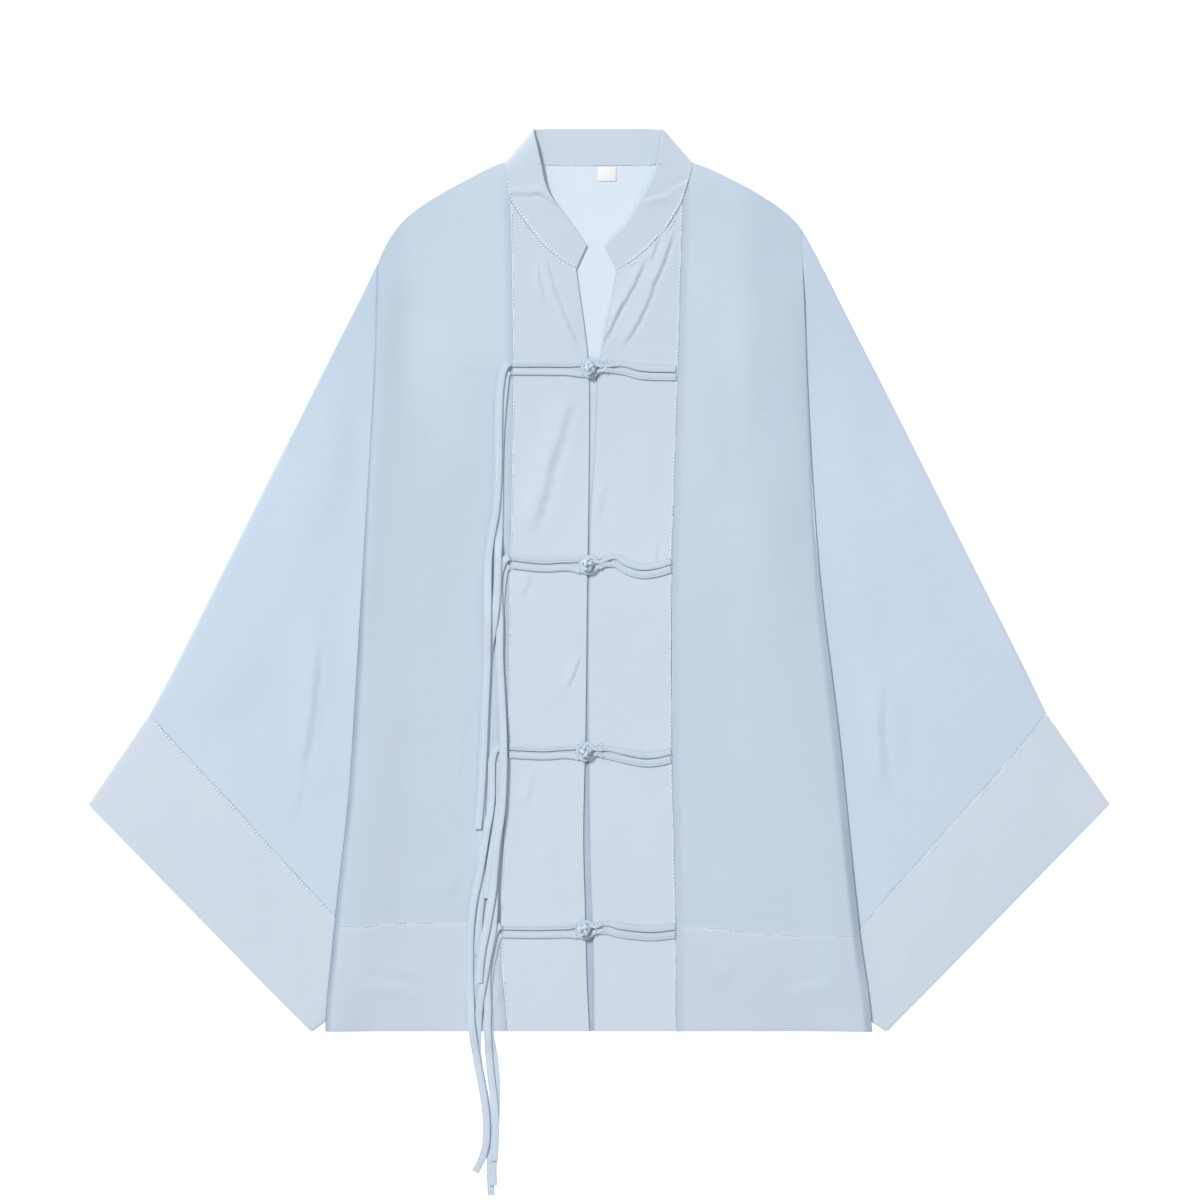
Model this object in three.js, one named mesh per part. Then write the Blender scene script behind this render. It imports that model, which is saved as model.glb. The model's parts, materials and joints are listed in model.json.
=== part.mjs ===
// A light jacket with a stand collar, wide sleeves, deep cuffs, doubled front bands and four
// knotted fastenings with long ties, laid out flat on its back. Millimetres, +Z up, +X to the
// wearer's left, +Y towards the collar. The origin is under the middle of the cloth.
import * as THREE from 'three';

// Cloth and seams
const CLOTH = 1.2;
const DOUBLED = 1.5;
const GAP = 0.3;
const SEAM = 0.6;
const FOLD = 1.6;

// Levels of the layers, from the surface up
const HEM_Y = -397.5;
const FRONT_LEVEL = CLOTH + GAP;
const BAND_TOP = FRONT_LEVEL + DOUBLED;
const SLEEVE_HEIGHT = 2 * CLOTH + GAP;
const CUFF_HEIGHT = 2 * DOUBLED + GAP;
const SLEEVE_PUFF = 2.2;
const CUFF_PUFF = 0.8;

// Where the body rises over what lies under its sides: from the cuff up to the sleeve, out at the
// shoulder, and inwards from the tucked edge. The front's rise reaches a little further in
const OVER_CUFF = { from: -296, to: -268 };
const SHOULDER_FADE = { from: 228, to: 272 };
const INWARD_FADE = { from: 5, to: 30 };
const FRONT_FURTHER = 9;

// Distance outside the body's edge over which a sleeve or cuff gains its full puff
const PUFF_CLEAR = { from: 4, to: 30 };

// Fastenings and ties
const TIE_WIDTH = 6.6;
const CORD_WIDTH = 6.4;
const CORD_THICKNESS = 2;
const BUTTON_CORD_STEPS = 16;
const LOOP_CORD_STEPS = 28;
const LOOP_RADIUS = 6.4;
const BUTTON_TURN = [60, 0, -60];
const LOOP_TURN = [75, 115, 150, 180, 210, 245, 285];
const TIE_THICKNESS = 1.6;
const TIE_PITCH = 2;
const TIE_STEP = 18.5;
const BAND_FOOT_X = -84;
const BAND_SHELF_X = -80;
const STRAND_SPACING = 7.2;
const KNOT_RADIUS = 6.8;
const KNOT_HEIGHT = 8.4;
const KNOT_NECK = 2.6;
const KNOT_RINGS = [-50, -25, 0, 25, 50, 70];
const KNOT_BULGE = 0.06;

// Lie of the side seams: distance of each from the centre line
const SIDE_SEAMS = [
  { y: -397.5, right: 241, left: 240.6 },
  { y: -370, right: 239.6, left: 238.4 },
  { y: -335, right: 235.8, left: 232.4 },
  { y: -282, right: 230.6, left: 226.2 },
  { y: -194, right: 220.4, left: 217.4 },
  { y: -106, right: 214.7, left: 207.7 },
  { y: -18, right: 209.4, left: 196.2 },
  { y: 70, right: 204.2, left: 188.8 },
  { y: 158, right: 198.9, left: 183.9 },
  { y: 246, right: 195.4, left: 180.4 },
  { y: 279.7, right: 194.8, left: 179 },
  { y: 309, right: 194.8, left: 178.1 },
];

// How far the sleeve reaches in under the body, from the shoulder to the cuff's corner
const SLEEVE_TUCK = [
  { y: -393, reach: -1.2 },
  { y: -378, reach: 8.5 },
  { y: -350, reach: 12 },
  { y: -300, reach: 12 },
  { y: -18, reach: 12 },
  { y: 70, reach: 11 },
  { y: 120, reach: 8 },
  { y: 180, reach: 3 },
  { y: 215, reach: -0.6 },
  { y: 310, reach: -0.6 },
];
const ARMHOLE_LEVELS = [246, 215, 180, 120];
const UNDERARM_Y = 70;
const SLEEVE_FOLD_LEVELS = [-18, -106, -194, -282];
const CUFF_FOLD_LEVELS = [-350, -378, -393];
const SLEEVE_LENGTH = 380;

// Shoulder line of the body, from the sleeve seam to the neck
const SHOULDERS = {
  right: [
    { out: 194.8, y: 279.7 }, { out: 188.8, y: 293 }, { out: 180.4, y: 307.2 },
    { out: 173.4, y: 316.2 }, { out: 159.7, y: 327.6 }, { out: 132.9, y: 343.9 },
    { out: 96.8, y: 362.4 }, { out: 84.2, y: 367.8 },
  ],
  left: [
    { out: 178.1, y: 309 }, { out: 174.7, y: 314.2 }, { out: 166.8, y: 321.9 },
    { out: 151.4, y: 333.3 }, { out: 133.8, y: 343.9 }, { out: 110, y: 356.2 },
    { out: 95, y: 362.6 }, { out: 83.8, y: 367.2 },
  ],
};

// Top fold of each sleeve, from the shoulder to the cuff seam
const SLEEVE_TOPS = {
  right: [
    { out: 195.4, y: 279.7 }, { out: 206.8, y: 254.1 }, { out: 220.9, y: 227.7 },
    { out: 236.7, y: 196.4 }, { out: 308, y: 54.1 }, { out: 379.3, y: -88.2 },
    { out: 389, y: -105.8 }, { out: 396, y: -118.1 },
  ],
  left: [
    { out: 178.7, y: 309 }, { out: 187.4, y: 294.6 }, { out: 196.7, y: 276.1 },
    { out: 212.1, y: 244.5 }, { out: 238.5, y: 193.4 }, { out: 309.5, y: 52.5 },
    { out: 380.2, y: -88.2 }, { out: 393.8, y: -117.2 },
  ],
};

// Seam between sleeve and cuff, from the top fold to the hidden inner fold
const CUFF_SEAMS = {
  right: [
    { out: 396, y: -118.1 }, { out: 382.8, y: -133.1 }, { out: 361.7, y: -155.9 },
    { out: 320.3, y: -199.9 }, { out: 288.6, y: -235.6 }, { out: 257.8, y: -268.6 },
    { out: 231.9, y: -296.7 }, { out: 221.5, y: -307.5 },
  ],
  left: [
    { out: 393.8, y: -117.2 }, { out: 377, y: -138.4 }, { out: 358.2, y: -163 },
    { out: 329.1, y: -193.8 }, { out: 283.8, y: -245.7 }, { out: 257, y: -274.7 },
    { out: 234.1, y: -302.9 }, { out: 223.5, y: -314.3 },
  ],
};

// Outer corner and lower corner of each cuff's open end
const CUFF_ENDS = {
  right: {
    outer: { out: 449.9, y: -197.8 }, lower: { out: 255.2, y: -397 }, turn: { out: 251.7, y: -397.5 },
  },
  left: {
    outer: { out: 449.9, y: -197.3 }, lower: { out: 254.7, y: -397 }, turn: { out: 251.7, y: -397.5 },
  },
};

// Seams of the front bands and their open edges: distance from the centre line, wearer's right
// and left. A negative distance lies past the centre line.
const BAND_SEAMS = {
  right: [
    { y: -397.5, out: 80.1 }, { y: -340, out: 85.6 }, { y: -280, out: 85.8 }, { y: -150, out: 80.1 },
    { y: 4, out: 78.7 }, { y: 44, out: 77.4 }, { y: 184, out: 75.2 }, { y: 250, out: 76.2 },
    { y: 300, out: 77 }, { y: 334.6, out: 77.8 },
  ],
  left: [
    { y: -397.5, out: 67.8 }, { y: -308, out: 67.8 }, { y: -150, out: 63.9 }, { y: 17, out: 63.9 },
    { y: 184, out: 69.5 }, { y: 250, out: 71.2 }, { y: 300, out: 72.6 }, { y: 334, out: 73.6 },
  ],
};
const OPEN_EDGES = {
  right: [
    { y: -397.5, out: 8.4 }, { y: -361, out: 10.6 }, { y: -295, out: 12.1 }, { y: -229, out: 14 },
    { y: -194, out: 13.4 }, { y: -137, out: 11.9 }, { y: -18, out: 10.6 }, { y: 22, out: 9.9 },
    { y: 177, out: 8.6 }, { y: 197.3, out: 9.7 }, { y: 225.5, out: 13.2 }, { y: 252.4, out: 17.2 },
    { y: 272.6, out: 20.2 },
  ],
  left: [
    { y: -397.5, out: -4.7 }, { y: -317, out: -5.3 }, { y: -250, out: -7.9 }, { y: -194, out: -8.6 },
    { y: -137, out: -9.4 }, { y: -18, out: -8.8 }, { y: 60, out: -7.4 }, { y: 120, out: -3.4 },
    { y: 177, out: -1.8 }, { y: 193.4, out: -0.4 }, { y: 225.5, out: 7 }, { y: 249.7, out: 11.4 },
    { y: 271, out: 14.5 },
  ],
};

// The collar at stations from its front end to the back fold: lower seam and top edge
const COLLAR_STATIONS = {
  right: [
    { seamOut: 19.9, seamY: 273.8, seamZ: 2.5, edgeOut: 10.6, edgeY: 294.2, edgeZ: 2.9 },
    { seamOut: 36.1, seamY: 283.7, seamZ: 2.6, edgeOut: 19.4, edgeY: 306.9, edgeZ: 3.4 },
    { seamOut: 51, seamY: 296.9, seamZ: 2.7, edgeOut: 31.7, edgeY: 324.1, edgeZ: 4.2 },
    { seamOut: 64.2, seamY: 314.4, seamZ: 3.1, edgeOut: 40, edgeY: 334.2, edgeZ: 5.2 },
    { seamOut: 76.6, seamY: 331.9, seamZ: 4.2, edgeOut: 46.6, edgeY: 346.5, edgeZ: 6.3 },
    { seamOut: 81.2, seamY: 349, seamZ: 5.2, edgeOut: 51, edgeY: 366.8, edgeZ: 7.2 },
    { seamOut: 81.9, seamY: 361, seamZ: 5.3, edgeOut: 55.2, edgeY: 386, edgeZ: 7.4 },
    { seamOut: 82.4, seamY: 367.2, seamZ: 3.6, edgeOut: 57.6, edgeY: 396, edgeZ: 4.4 },
    { seamOut: 77.6, seamY: 366.6, seamZ: 1.7, edgeOut: 54.7, edgeY: 396.6, edgeZ: 1.8 },
    { seamOut: 63, seamY: 365.6, seamZ: 1, edgeOut: 44, edgeY: 397.2, edgeZ: 1 },
    { seamOut: 34, seamY: 364.8, seamZ: 0.9, edgeOut: 24, edgeY: 397.2, edgeZ: 0.9 },
  ],
  left: [
    { seamOut: 15.1, seamY: 272.4, seamZ: 2.5, edgeOut: 4.4, edgeY: 294.2, edgeZ: 2.9 },
    { seamOut: 29.9, seamY: 281, seamZ: 2.6, edgeOut: 14.5, edgeY: 304.4, edgeZ: 3.4 },
    { seamOut: 43.5, seamY: 292.5, seamZ: 2.7, edgeOut: 25, edgeY: 314.6, edgeZ: 4.2 },
    { seamOut: 60, seamY: 310, seamZ: 3.1, edgeOut: 36.2, edgeY: 334, edgeZ: 5.2 },
    { seamOut: 73, seamY: 332, seamZ: 4.2, edgeOut: 45.5, edgeY: 350, edgeZ: 6.3 },
    { seamOut: 78, seamY: 349, seamZ: 5.2, edgeOut: 51.5, edgeY: 366.3, edgeZ: 7.2 },
    { seamOut: 81.2, seamY: 361, seamZ: 5.3, edgeOut: 54.5, edgeY: 386, edgeZ: 7.4 },
    { seamOut: 82, seamY: 367.2, seamZ: 3.6, edgeOut: 56.2, edgeY: 396, edgeZ: 4.4 },
    { seamOut: 77.6, seamY: 366.6, seamZ: 1.7, edgeOut: 53.6, edgeY: 396.6, edgeZ: 1.8 },
    { seamOut: 63, seamY: 365.6, seamZ: 1, edgeOut: 44, edgeY: 397.2, edgeZ: 1 },
    { seamOut: 34, seamY: 364.8, seamZ: 0.9, edgeOut: 24, edgeY: 397.2, edgeZ: 0.9 },
  ],
};
const BACK_NECK = { seamY: 364.6, edgeY: 397.2, middle: 0.9, panelY: 364.2, cornerOut: 80 };
const NECK_MIDDLE_Y = 345;
const NECK_SEAM = 1.2;

// The fronts rise to the collar's side seams
const NECK_RISE = { height: 3, out: 80, y: 352, spread: 27 };

// Larger creases, as soft ridges: from, to, height and half width
const BAND_CREASES = [
  { fromX: -45, fromY: 268, toX: -17, toY: 206, height: 1.1, spread: 6 },
  { fromX: -62, fromY: 290, toX: -38, toY: 232, height: 0.7, spread: 6 },
  { fromX: 43, fromY: 286, toX: 6, toY: 218, height: 1.2, spread: 6 },
  { fromX: 60, fromY: 302, toX: 22, toY: 212, height: 1, spread: 7 },
  { fromX: -24, fromY: 152, toX: -58, toY: 42, height: 1, spread: 9 },
  { fromX: -30, fromY: -90, toX: -21, toY: -64, height: 0.6, spread: 7 },
];
const SLEEVE_CREASES = [
  { fromX: -252, fromY: -92, toX: -247, toY: -170, height: 1.2, spread: 14 },
  { fromX: -300, fromY: 20, toX: -330, toY: -90, height: 0.9, spread: 20 },
  { fromX: 262, fromY: 60, toX: 288, toY: -70, height: 1, spread: 20 },
  { fromX: 258, fromY: -120, toX: 252, toY: -220, height: 1.1, spread: 14 },
];
const FRONT_CREASES = [
  { fromX: -150, fromY: 40, toX: -146, toY: -110, height: 0.8, spread: 18 },
  { fromX: -190, fromY: -352, toX: -150, toY: -372, height: 0.7, spread: 10 },
  { fromX: 132, fromY: 60, toX: 140, toY: -120, height: 0.8, spread: 18 },
  { fromX: 178, fromY: -340, toX: 150, toY: -376, height: 0.7, spread: 10 },
];

// Each fastening: its knot, the line of its button cord and the line of its loop cord
const FASTENINGS = [
  {
    knotX: -8.4, knotY: 185.9,
    buttonLine: [{ x: -30, y: 186.6 }, { x: -76, y: 186.9 }],
    loopLine: [{ x: 20.2, y: 186.4 }, { x: 37, y: 183.1 }, { x: 67.4, y: 182 }],
  },
  {
    knotX: -10.6, knotY: 13,
    buttonLine: [{ x: -30, y: 14.6 }, { x: -48, y: 13.6 }, { x: -76, y: 16.4 }],
    loopLine: [
      { x: 14.1, y: 16.8 }, { x: 24, y: 11.7 }, { x: 37, y: 8 }, { x: 49, y: 9 }, { x: 63, y: 12.8 },
    ],
  },
  {
    knotX: -11.9, knotY: -151.1,
    buttonLine: [{ x: -30, y: -150.4 }, { x: -46, y: -151.5 }, { x: -79, y: -150.2 }],
    loopLine: [
      { x: 8, y: -152 }, { x: 23, y: -154.7 }, { x: 40, y: -157.7 }, { x: 53, y: -156.8 },
      { x: 63, y: -154.4 },
    ],
  },
  {
    knotX: -13.2, knotY: -307.7,
    buttonLine: [{ x: -30, y: -308.2 }, { x: -52, y: -308.7 }, { x: -84, y: -308.3 }],
    loopLine: [
      { x: 4, y: -305.8 }, { x: 19.4, y: -308.2 }, { x: 33, y: -309.8 }, { x: 47, y: -310.6 },
      { x: 66.8, y: -308.6 },
    ],
  },
];

// Routes of the free ties from the band's seam, chosen by hand. "under" counts the ties that lie
// beneath the point
const TIES = {
  tie_1_outer: [
    { x: -79.2, y: 190.8, under: 0.6 }, { x: -82, y: 188.4, under: 1.1 },
    { x: -84.6, y: 182.8, under: 1.2 },
    { x: -86.4, y: 173.5, under: 1 }, { x: -87.6, y: 160, under: 1 }, { x: -88.2, y: 134, under: 1 },
    { x: -88.4, y: 106, under: 1 }, { x: -89.2, y: 80, under: 1 }, { x: -91.2, y: 58, under: 1 },
    { x: -94.8, y: 38, under: 1 }, { x: -97, y: 20, under: 0.8 }, { x: -97.6, y: 0, under: 1.5 },
    { x: -97.6, y: -20, under: 2.8 }, { x: -97.8, y: -36, under: 3 }, { x: -98.2, y: -52, under: 2.2 },
    { x: -98.4, y: -70, under: 1.1 }, { x: -99, y: -88, under: 1 }, { x: -100, y: -110, under: 1 },
    { x: -101, y: -136, under: 1 }, { x: -102.4, y: -165, under: 1 }, { x: -103.6, y: -185, under: 1 },
    { x: -105.2, y: -205, under: 1 }, { x: -106.6, y: -219, under: 1.4 },
  ],
  tie_1_inner: [
    { x: -79.2, y: 183.3, under: 0 }, { x: -80.9, y: 181.6, under: 0 }, { x: -82.2, y: 176.6, under: 0 },
    { x: -83.5, y: 165, under: 0 }, { x: -85.2, y: 147, under: 0 }, { x: -86.8, y: 121, under: 0 },
    { x: -87.4, y: 96, under: 0 }, { x: -87.4, y: 70, under: 0 }, { x: -87.8, y: 44, under: 0 },
    { x: -88.3, y: 33, under: 0.5 }, { x: -88.7, y: 23, under: 1.9 },
    { x: -88.8, y: 12, under: 2 }, { x: -89.2, y: 0, under: 2 },
    { x: -90, y: -16, under: 2 }, { x: -91.6, y: -32, under: 2 }, { x: -94, y: -47, under: 1.2 },
    { x: -96, y: -60, under: 0.1 }, { x: -97.4, y: -76, under: 0 }, { x: -99, y: -100, under: 0 },
    { x: -100, y: -130, under: 0 }, { x: -101.4, y: -165, under: 0 }, { x: -103, y: -200, under: 0 },
    { x: -103.4, y: -235, under: 0 }, { x: -103, y: -262, under: 0 }, { x: -103.6, y: -280, under: 0 },
    { x: -105.2, y: -297, under: 0 }, { x: -106, y: -313, under: 0 }, { x: -106.6, y: -330, under: 0 },
  ],
  tie_2_outer: [
    { x: -79.2, y: 20.2, under: 0.6 }, { x: -82.4, y: 18.2, under: 1.1 }, { x: -85.8, y: 12.6, under: 1.2 },
    { x: -88, y: 3, under: 1 }, { x: -88.2, y: -12, under: 1 }, { x: -87.2, y: -40, under: 1 },
    { x: -87.4, y: -68, under: 1 }, { x: -86, y: -98, under: 1 }, { x: -84.6, y: -124, under: 1.4 },
    { x: -84, y: -140, under: 2 }, { x: -83.8, y: -156, under: 2 }, { x: -84.2, y: -176, under: 2 },
    { x: -86, y: -206, under: 2 }, { x: -89.4, y: -229, under: 2 }, { x: -92, y: -256, under: 2 },
    { x: -93.8, y: -276, under: 2.4 }, { x: -96.4, y: -292, under: 3 }, { x: -99, y: -307, under: 3 },
    { x: -102.2, y: -322, under: 3 }, { x: -104.4, y: -338, under: 3 }, { x: -105.6, y: -354, under: 2.8 },
  ],
  tie_2_inner: [
    { x: -79.2, y: 12.4, under: 0 }, { x: -81.4, y: 11.2, under: 0 }, { x: -83.4, y: 6, under: 0 },
    { x: -85.2, y: -6, under: 0 }, { x: -86.4, y: -22, under: 0 }, { x: -87.2, y: -45, under: 0 },
    { x: -87.2, y: -70, under: 0 }, { x: -85.8, y: -98, under: 0 }, { x: -84.6, y: -124, under: 0.5 },
    { x: -84.2, y: -138, under: 1 }, { x: -84.4, y: -152, under: 1 }, { x: -85.4, y: -176, under: 1 },
    { x: -88.4, y: -204, under: 1 }, { x: -92.2, y: -229, under: 1 }, { x: -94.6, y: -244, under: 1 },
    { x: -97, y: -262, under: 1 }, { x: -98.4, y: -280, under: 1 },
  ],
  tie_3_outer: [
    { x: -80.7, y: -146.6, under: 0 }, { x: -85.6, y: -146.8, under: 0 }, { x: -90.6, y: -149.2, under: 0 },
    { x: -93.6, y: -156, under: 0 }, { x: -94.6, y: -170, under: 0 }, { x: -94.6, y: -188, under: 0 },
    { x: -95.8, y: -204, under: 0.5 }, { x: -98.8, y: -220, under: 1 }, { x: -101.4, y: -236, under: 1 },
    { x: -104.4, y: -254, under: 1 }, { x: -107.2, y: -268, under: 1 }, { x: -110.2, y: -282, under: 1 },
    { x: -112.2, y: -298, under: 0.9 }, { x: -113.4, y: -315, under: 0.2 }, { x: -113.6, y: -335, under: 0 },
    { x: -113.4, y: -358, under: 0 }, { x: -112.8, y: -374, under: 0.4 }, { x: -112.4, y: -388, under: 1.2 },
    { x: -110.6, y: -403, under: 1.1 }, { x: -108.6, y: -417, under: 1.1 }, { x: -104.8, y: -437, under: 1 },
    { x: -101.4, y: -456, under: 1 }, { x: -99.4, y: -473, under: 1 }, { x: -99, y: -486, under: 1 },
    { x: -99.8, y: -497, under: 1 }, { x: -102.6, y: -508, under: 0.7 }, { x: -106, y: -516, under: 0.1 },
    { x: -109.4, y: -521.5, under: 0 },
  ],
  tie_3_inner: [
    { x: -80.7, y: -153.8, under: 0 }, { x: -83.4, y: -154.6, under: 0 }, { x: -86, y: -159, under: 0 },
    { x: -87.2, y: -170, under: 0 }, { x: -87.4, y: -188, under: 0 }, { x: -87.6, y: -208, under: 0 },
    { x: -88.6, y: -229, under: 0 }, { x: -90.2, y: -251, under: 0 }, { x: -91.6, y: -270, under: 0.4 },
    { x: -92, y: -284, under: 1.5 }, { x: -92.6, y: -298, under: 2 }, { x: -94.4, y: -314, under: 2 },
    { x: -97.6, y: -330, under: 2 }, { x: -100.4, y: -346, under: 2 }, { x: -103, y: -360, under: 2 },
    { x: -105, y: -374, under: 1.2 }, { x: -106, y: -386, under: 0.2 }, { x: -106.6, y: -398, under: 0 },
    { x: -106.8, y: -410, under: 0 }, { x: -106, y: -424, under: 0 }, { x: -103.6, y: -438, under: 0 },
    { x: -100, y: -456, under: 0 }, { x: -97.4, y: -474, under: 0 }, { x: -96.4, y: -490, under: 0 },
    { x: -96, y: -508, under: 0 }, { x: -95.6, y: -526, under: 0 }, { x: -95, y: -542, under: 0 },
  ],
  tie_4_outer: [
    { x: -86.3, y: -304.4, under: 0.6 }, { x: -89.2, y: -305.6, under: 1.1 }, { x: -92, y: -310, under: 1.2 },
    { x: -94, y: -319, under: 1 }, { x: -97, y: -333, under: 1 }, { x: -98.4, y: -347, under: 1 },
    { x: -98.4, y: -361, under: 1 }, { x: -97.8, y: -376, under: 1 }, { x: -98.2, y: -390, under: 1 },
    { x: -97.8, y: -403, under: 1 }, { x: -97, y: -418, under: 1 }, { x: -95.2, y: -437, under: 1 },
    { x: -92.8, y: -456, under: 1.2 }, { x: -91.4, y: -474, under: 2 }, { x: -91, y: -488, under: 2 },
    { x: -91.6, y: -500, under: 2 }, { x: -92.2, y: -511, under: 2 },
  ],
  tie_4_inner: [
    { x: -86.3, y: -312, under: 0 }, { x: -88.4, y: -313.4, under: 0 }, { x: -90.4, y: -318, under: 0 },
    { x: -92.6, y: -327, under: 0 }, { x: -95, y: -339, under: 0 }, { x: -96.6, y: -351, under: 0 },
    { x: -97, y: -364, under: 0 }, { x: -96.4, y: -380, under: 0 }, { x: -96, y: -392, under: 0 },
    { x: -94.9, y: -404, under: 0 }, { x: -92.6, y: -418, under: 0 }, { x: -90.6, y: -437, under: 0 },
    { x: -90.2, y: -456, under: 0.2 }, { x: -90.6, y: -472, under: 1 }, { x: -91.6, y: -490, under: 1 },
    { x: -92.6, y: -505, under: 1 }, { x: -93.2, y: -520, under: 1 }, { x: -93, y: -533, under: 1 },
  ],
};

// Size label inside the back neck
const LABEL = { x: 7, y: 357.2, width: 16, height: 12.4, thickness: 0.5 };

// Colours
const LOOKS = {
  body: { color: 0xc6d5e5, roughness: 0.9 },
  sleeve: { color: 0xcbdbeb, roughness: 0.9 },
  doubled: { color: 0xd0dbe7, roughness: 0.88 },
  cord: { color: 0xcdd9e6, roughness: 0.85 },
  label: { color: 0xf4f6f8, roughness: 0.7 },
};

const jacket = new THREE.Group();
const SIGN = { right: -1, left: 1 };

function between(rows, y, column) {
  const last = rows.length - 1;
  const place = rows.findIndex((row) => row.y >= y);
  if (place === 0) return rows[0][column];
  if (place < 0) return rows[last][column];
  const below = rows[place - 1];
  const above = rows[place];
  return THREE.MathUtils.mapLinear(y, below.y, above.y, below[column], above[column]);
}

// A smooth line through plan points, read by its share of length
function lineThrough(points) {
  const curve = new THREE.CatmullRomCurve3(
    points.map(([x, y]) => new THREE.Vector3(x, y, 0)), false, 'centripetal',
  );
  return (share) => {
    const { x, y } = curve.getPointAt(THREE.MathUtils.clamp(share, 0, 1));
    return [x, y];
  };
}

// Straight stretches between plan points, read by their share of length
function stretchesThrough(points) {
  const path = new THREE.CurvePath();
  for (let i = 1; i < points.length; i++) {
    path.add(new THREE.LineCurve(new THREE.Vector2(...points[i - 1]), new THREE.Vector2(...points[i])));
  }
  return (share) => {
    const { x, y } = path.getPointAt(THREE.MathUtils.clamp(share, 0, 1));
    return [x, y];
  };
}

function sidePoints(rows, side) {
  return rows.map(({ out, y }) => [SIGN[side] * out, y]);
}

// A plan patch between four edges, with u from start to end and v from lower to upper
function patchBetween({ lower, upper, start, end }) {
  const { lerp } = THREE.MathUtils;
  return (u, v) => [0, 1].map((axis) => {
    const upwards = lerp(lower(u)[axis], upper(u)[axis], v);
    const sideways = lerp(start(v)[axis], end(v)[axis], u);
    const corners = lerp(
      lerp(lower(0)[axis], lower(1)[axis], u), lerp(upper(0)[axis], upper(1)[axis], u), v,
    );
    return upwards + sideways - corners;
  });
}

// A closed body from points and triangles, its faces turned outwards
function closedBody(points, faces) {
  let volume = 0;
  const corner = (i) => new THREE.Vector3().fromArray(points, 3 * i);
  for (let f = 0; f < faces.length; f += 3) {
    volume += corner(faces[f]).dot(corner(faces[f + 1]).cross(corner(faces[f + 2])));
  }
  const index = [...faces];
  if (volume < 0) index.reverse();
  const geometry = new THREE.BufferGeometry();
  geometry.setAttribute('position', new THREE.Float32BufferAttribute(points, 3));
  geometry.setIndex(index);
  geometry.computeVertexNormals();
  return geometry;
}

const even = (share) => share;

function quad(faces, a, b, c, d) {
  faces.push(a, b, c, a, c, d);
}

// A wall between two skins of the same grid, given as functions of the grid place
function wallBetween(lowerSkin, upperSkin, across, along) {
  const points = [];
  const faces = [];
  const row = across + 1;
  const skin = row * (along + 1);
  for (const place of [lowerSkin, upperSkin]) {
    for (let j = 0; j <= along; j++) {
      for (let i = 0; i <= across; i++) points.push(...place(i, j));
    }
  }
  for (let j = 0; j < along; j++) {
    for (let i = 0; i < across; i++) {
      const a = j * row + i;
      quad(faces, a, a + row, a + row + 1, a + 1);
      quad(faces, skin + a, skin + a + 1, skin + a + row + 1, skin + a + row);
    }
  }
  for (let i = 0; i < across; i++) {
    const far = along * row + i;
    quad(faces, i, i + 1, skin + i + 1, skin + i);
    quad(faces, far + 1, far, skin + far, skin + far + 1);
  }
  for (let j = 0; j < along; j++) {
    const near = j * row;
    const far = near + across;
    quad(faces, near + row, near, skin + near, skin + near + row);
    quad(faces, far, far + row, skin + far + row, skin + far);
  }
  return closedBody(points, faces);
}

// Shares of a length that lie closer together at its start, or at both of its ends
function crowdedAtStart(share) {
  const crowding = 0.7;
  return share - (crowding / Math.PI) * Math.sin(Math.PI * share) * (1 - share);
}

function crowdedAtBoth(share) {
  const crowding = 0.8;
  return share - (crowding / (2 * Math.PI)) * Math.sin(2 * Math.PI * share);
}

function clothPanel({ patch, columns, rows, underside, wall, columnAt = even, rowAt = even }) {
  const skin = (rise) => (i, j) => {
    const [x, y] = patch(columnAt(i / columns), rowAt(j / rows));
    return [x, y, underside(x, y) + rise];
  };
  return wallBetween(skin(0), skin(wall), columns, rows);
}

// A flattened open tube of cloth: two layers joined round a fold at each side
function clothTube(patch, across, along, wall, height) {
  const points = [];
  const faces = [];
  const columns = 2 * (across + 1);
  for (const inset of [0, wall]) {
    for (let j = 0; j <= along; j++) {
      const v = j / along;
      const [startX, startY] = patch(0, v);
      const [endX, endY] = patch(1, v);
      const width = Math.hypot(endX - startX, endY - startY);
      const turn = inset / width;
      const flat = (FOLD + inset) / width;
      const shares = Array.from(
        { length: across }, (_, i) => THREE.MathUtils.lerp(flat, 1 - flat, i / (across - 1)),
      );
      const place = (u, level) => {
        const [x, y] = patch(u, v);
        const top = height(x, y, u, v) - inset;
        points.push(x, y, THREE.MathUtils.lerp(inset, top, level));
      };
      place(turn, 0.5);
      for (const u of shares) place(u, 0);
      place(1 - turn, 0.5);
      for (const u of [...shares].reverse()) place(u, 1);
    }
  }
  const loop = columns * (along + 1);
  for (let j = 0; j < along; j++) {
    for (let i = 0; i < columns; i++) {
      const next = (i + 1) % columns;
      const a = j * columns;
      const b = a + columns;
      quad(faces, a + i, b + i, b + next, a + next);
      quad(faces, loop + a + i, loop + a + next, loop + b + next, loop + b + i);
    }
  }
  const far = along * columns;
  for (let i = 0; i < columns; i++) {
    const next = (i + 1) % columns;
    quad(faces, i, next, loop + next, loop + i);
    quad(faces, far + next, far + i, loop + far + i, loop + far + next);
  }
  return closedBody(points, faces);
}

function creaseHeight(creases, x, y) {
  return creases.reduce((sum, { fromX, fromY, toX, toY, height, spread }) => {
    const line = new THREE.Line3(new THREE.Vector3(fromX, fromY, 0), new THREE.Vector3(toX, toY, 0));
    const here = new THREE.Vector3(x, y, 0);
    const near = line.closestPointToPoint(here, true, new THREE.Vector3());
    return sum + height * Math.exp(-((near.distanceTo(here) / spread) ** 2));
  }, 0);
}

function sideAt(x, y) {
  return between(SIDE_SEAMS, y, x < 0 ? 'right' : 'left');
}

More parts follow.
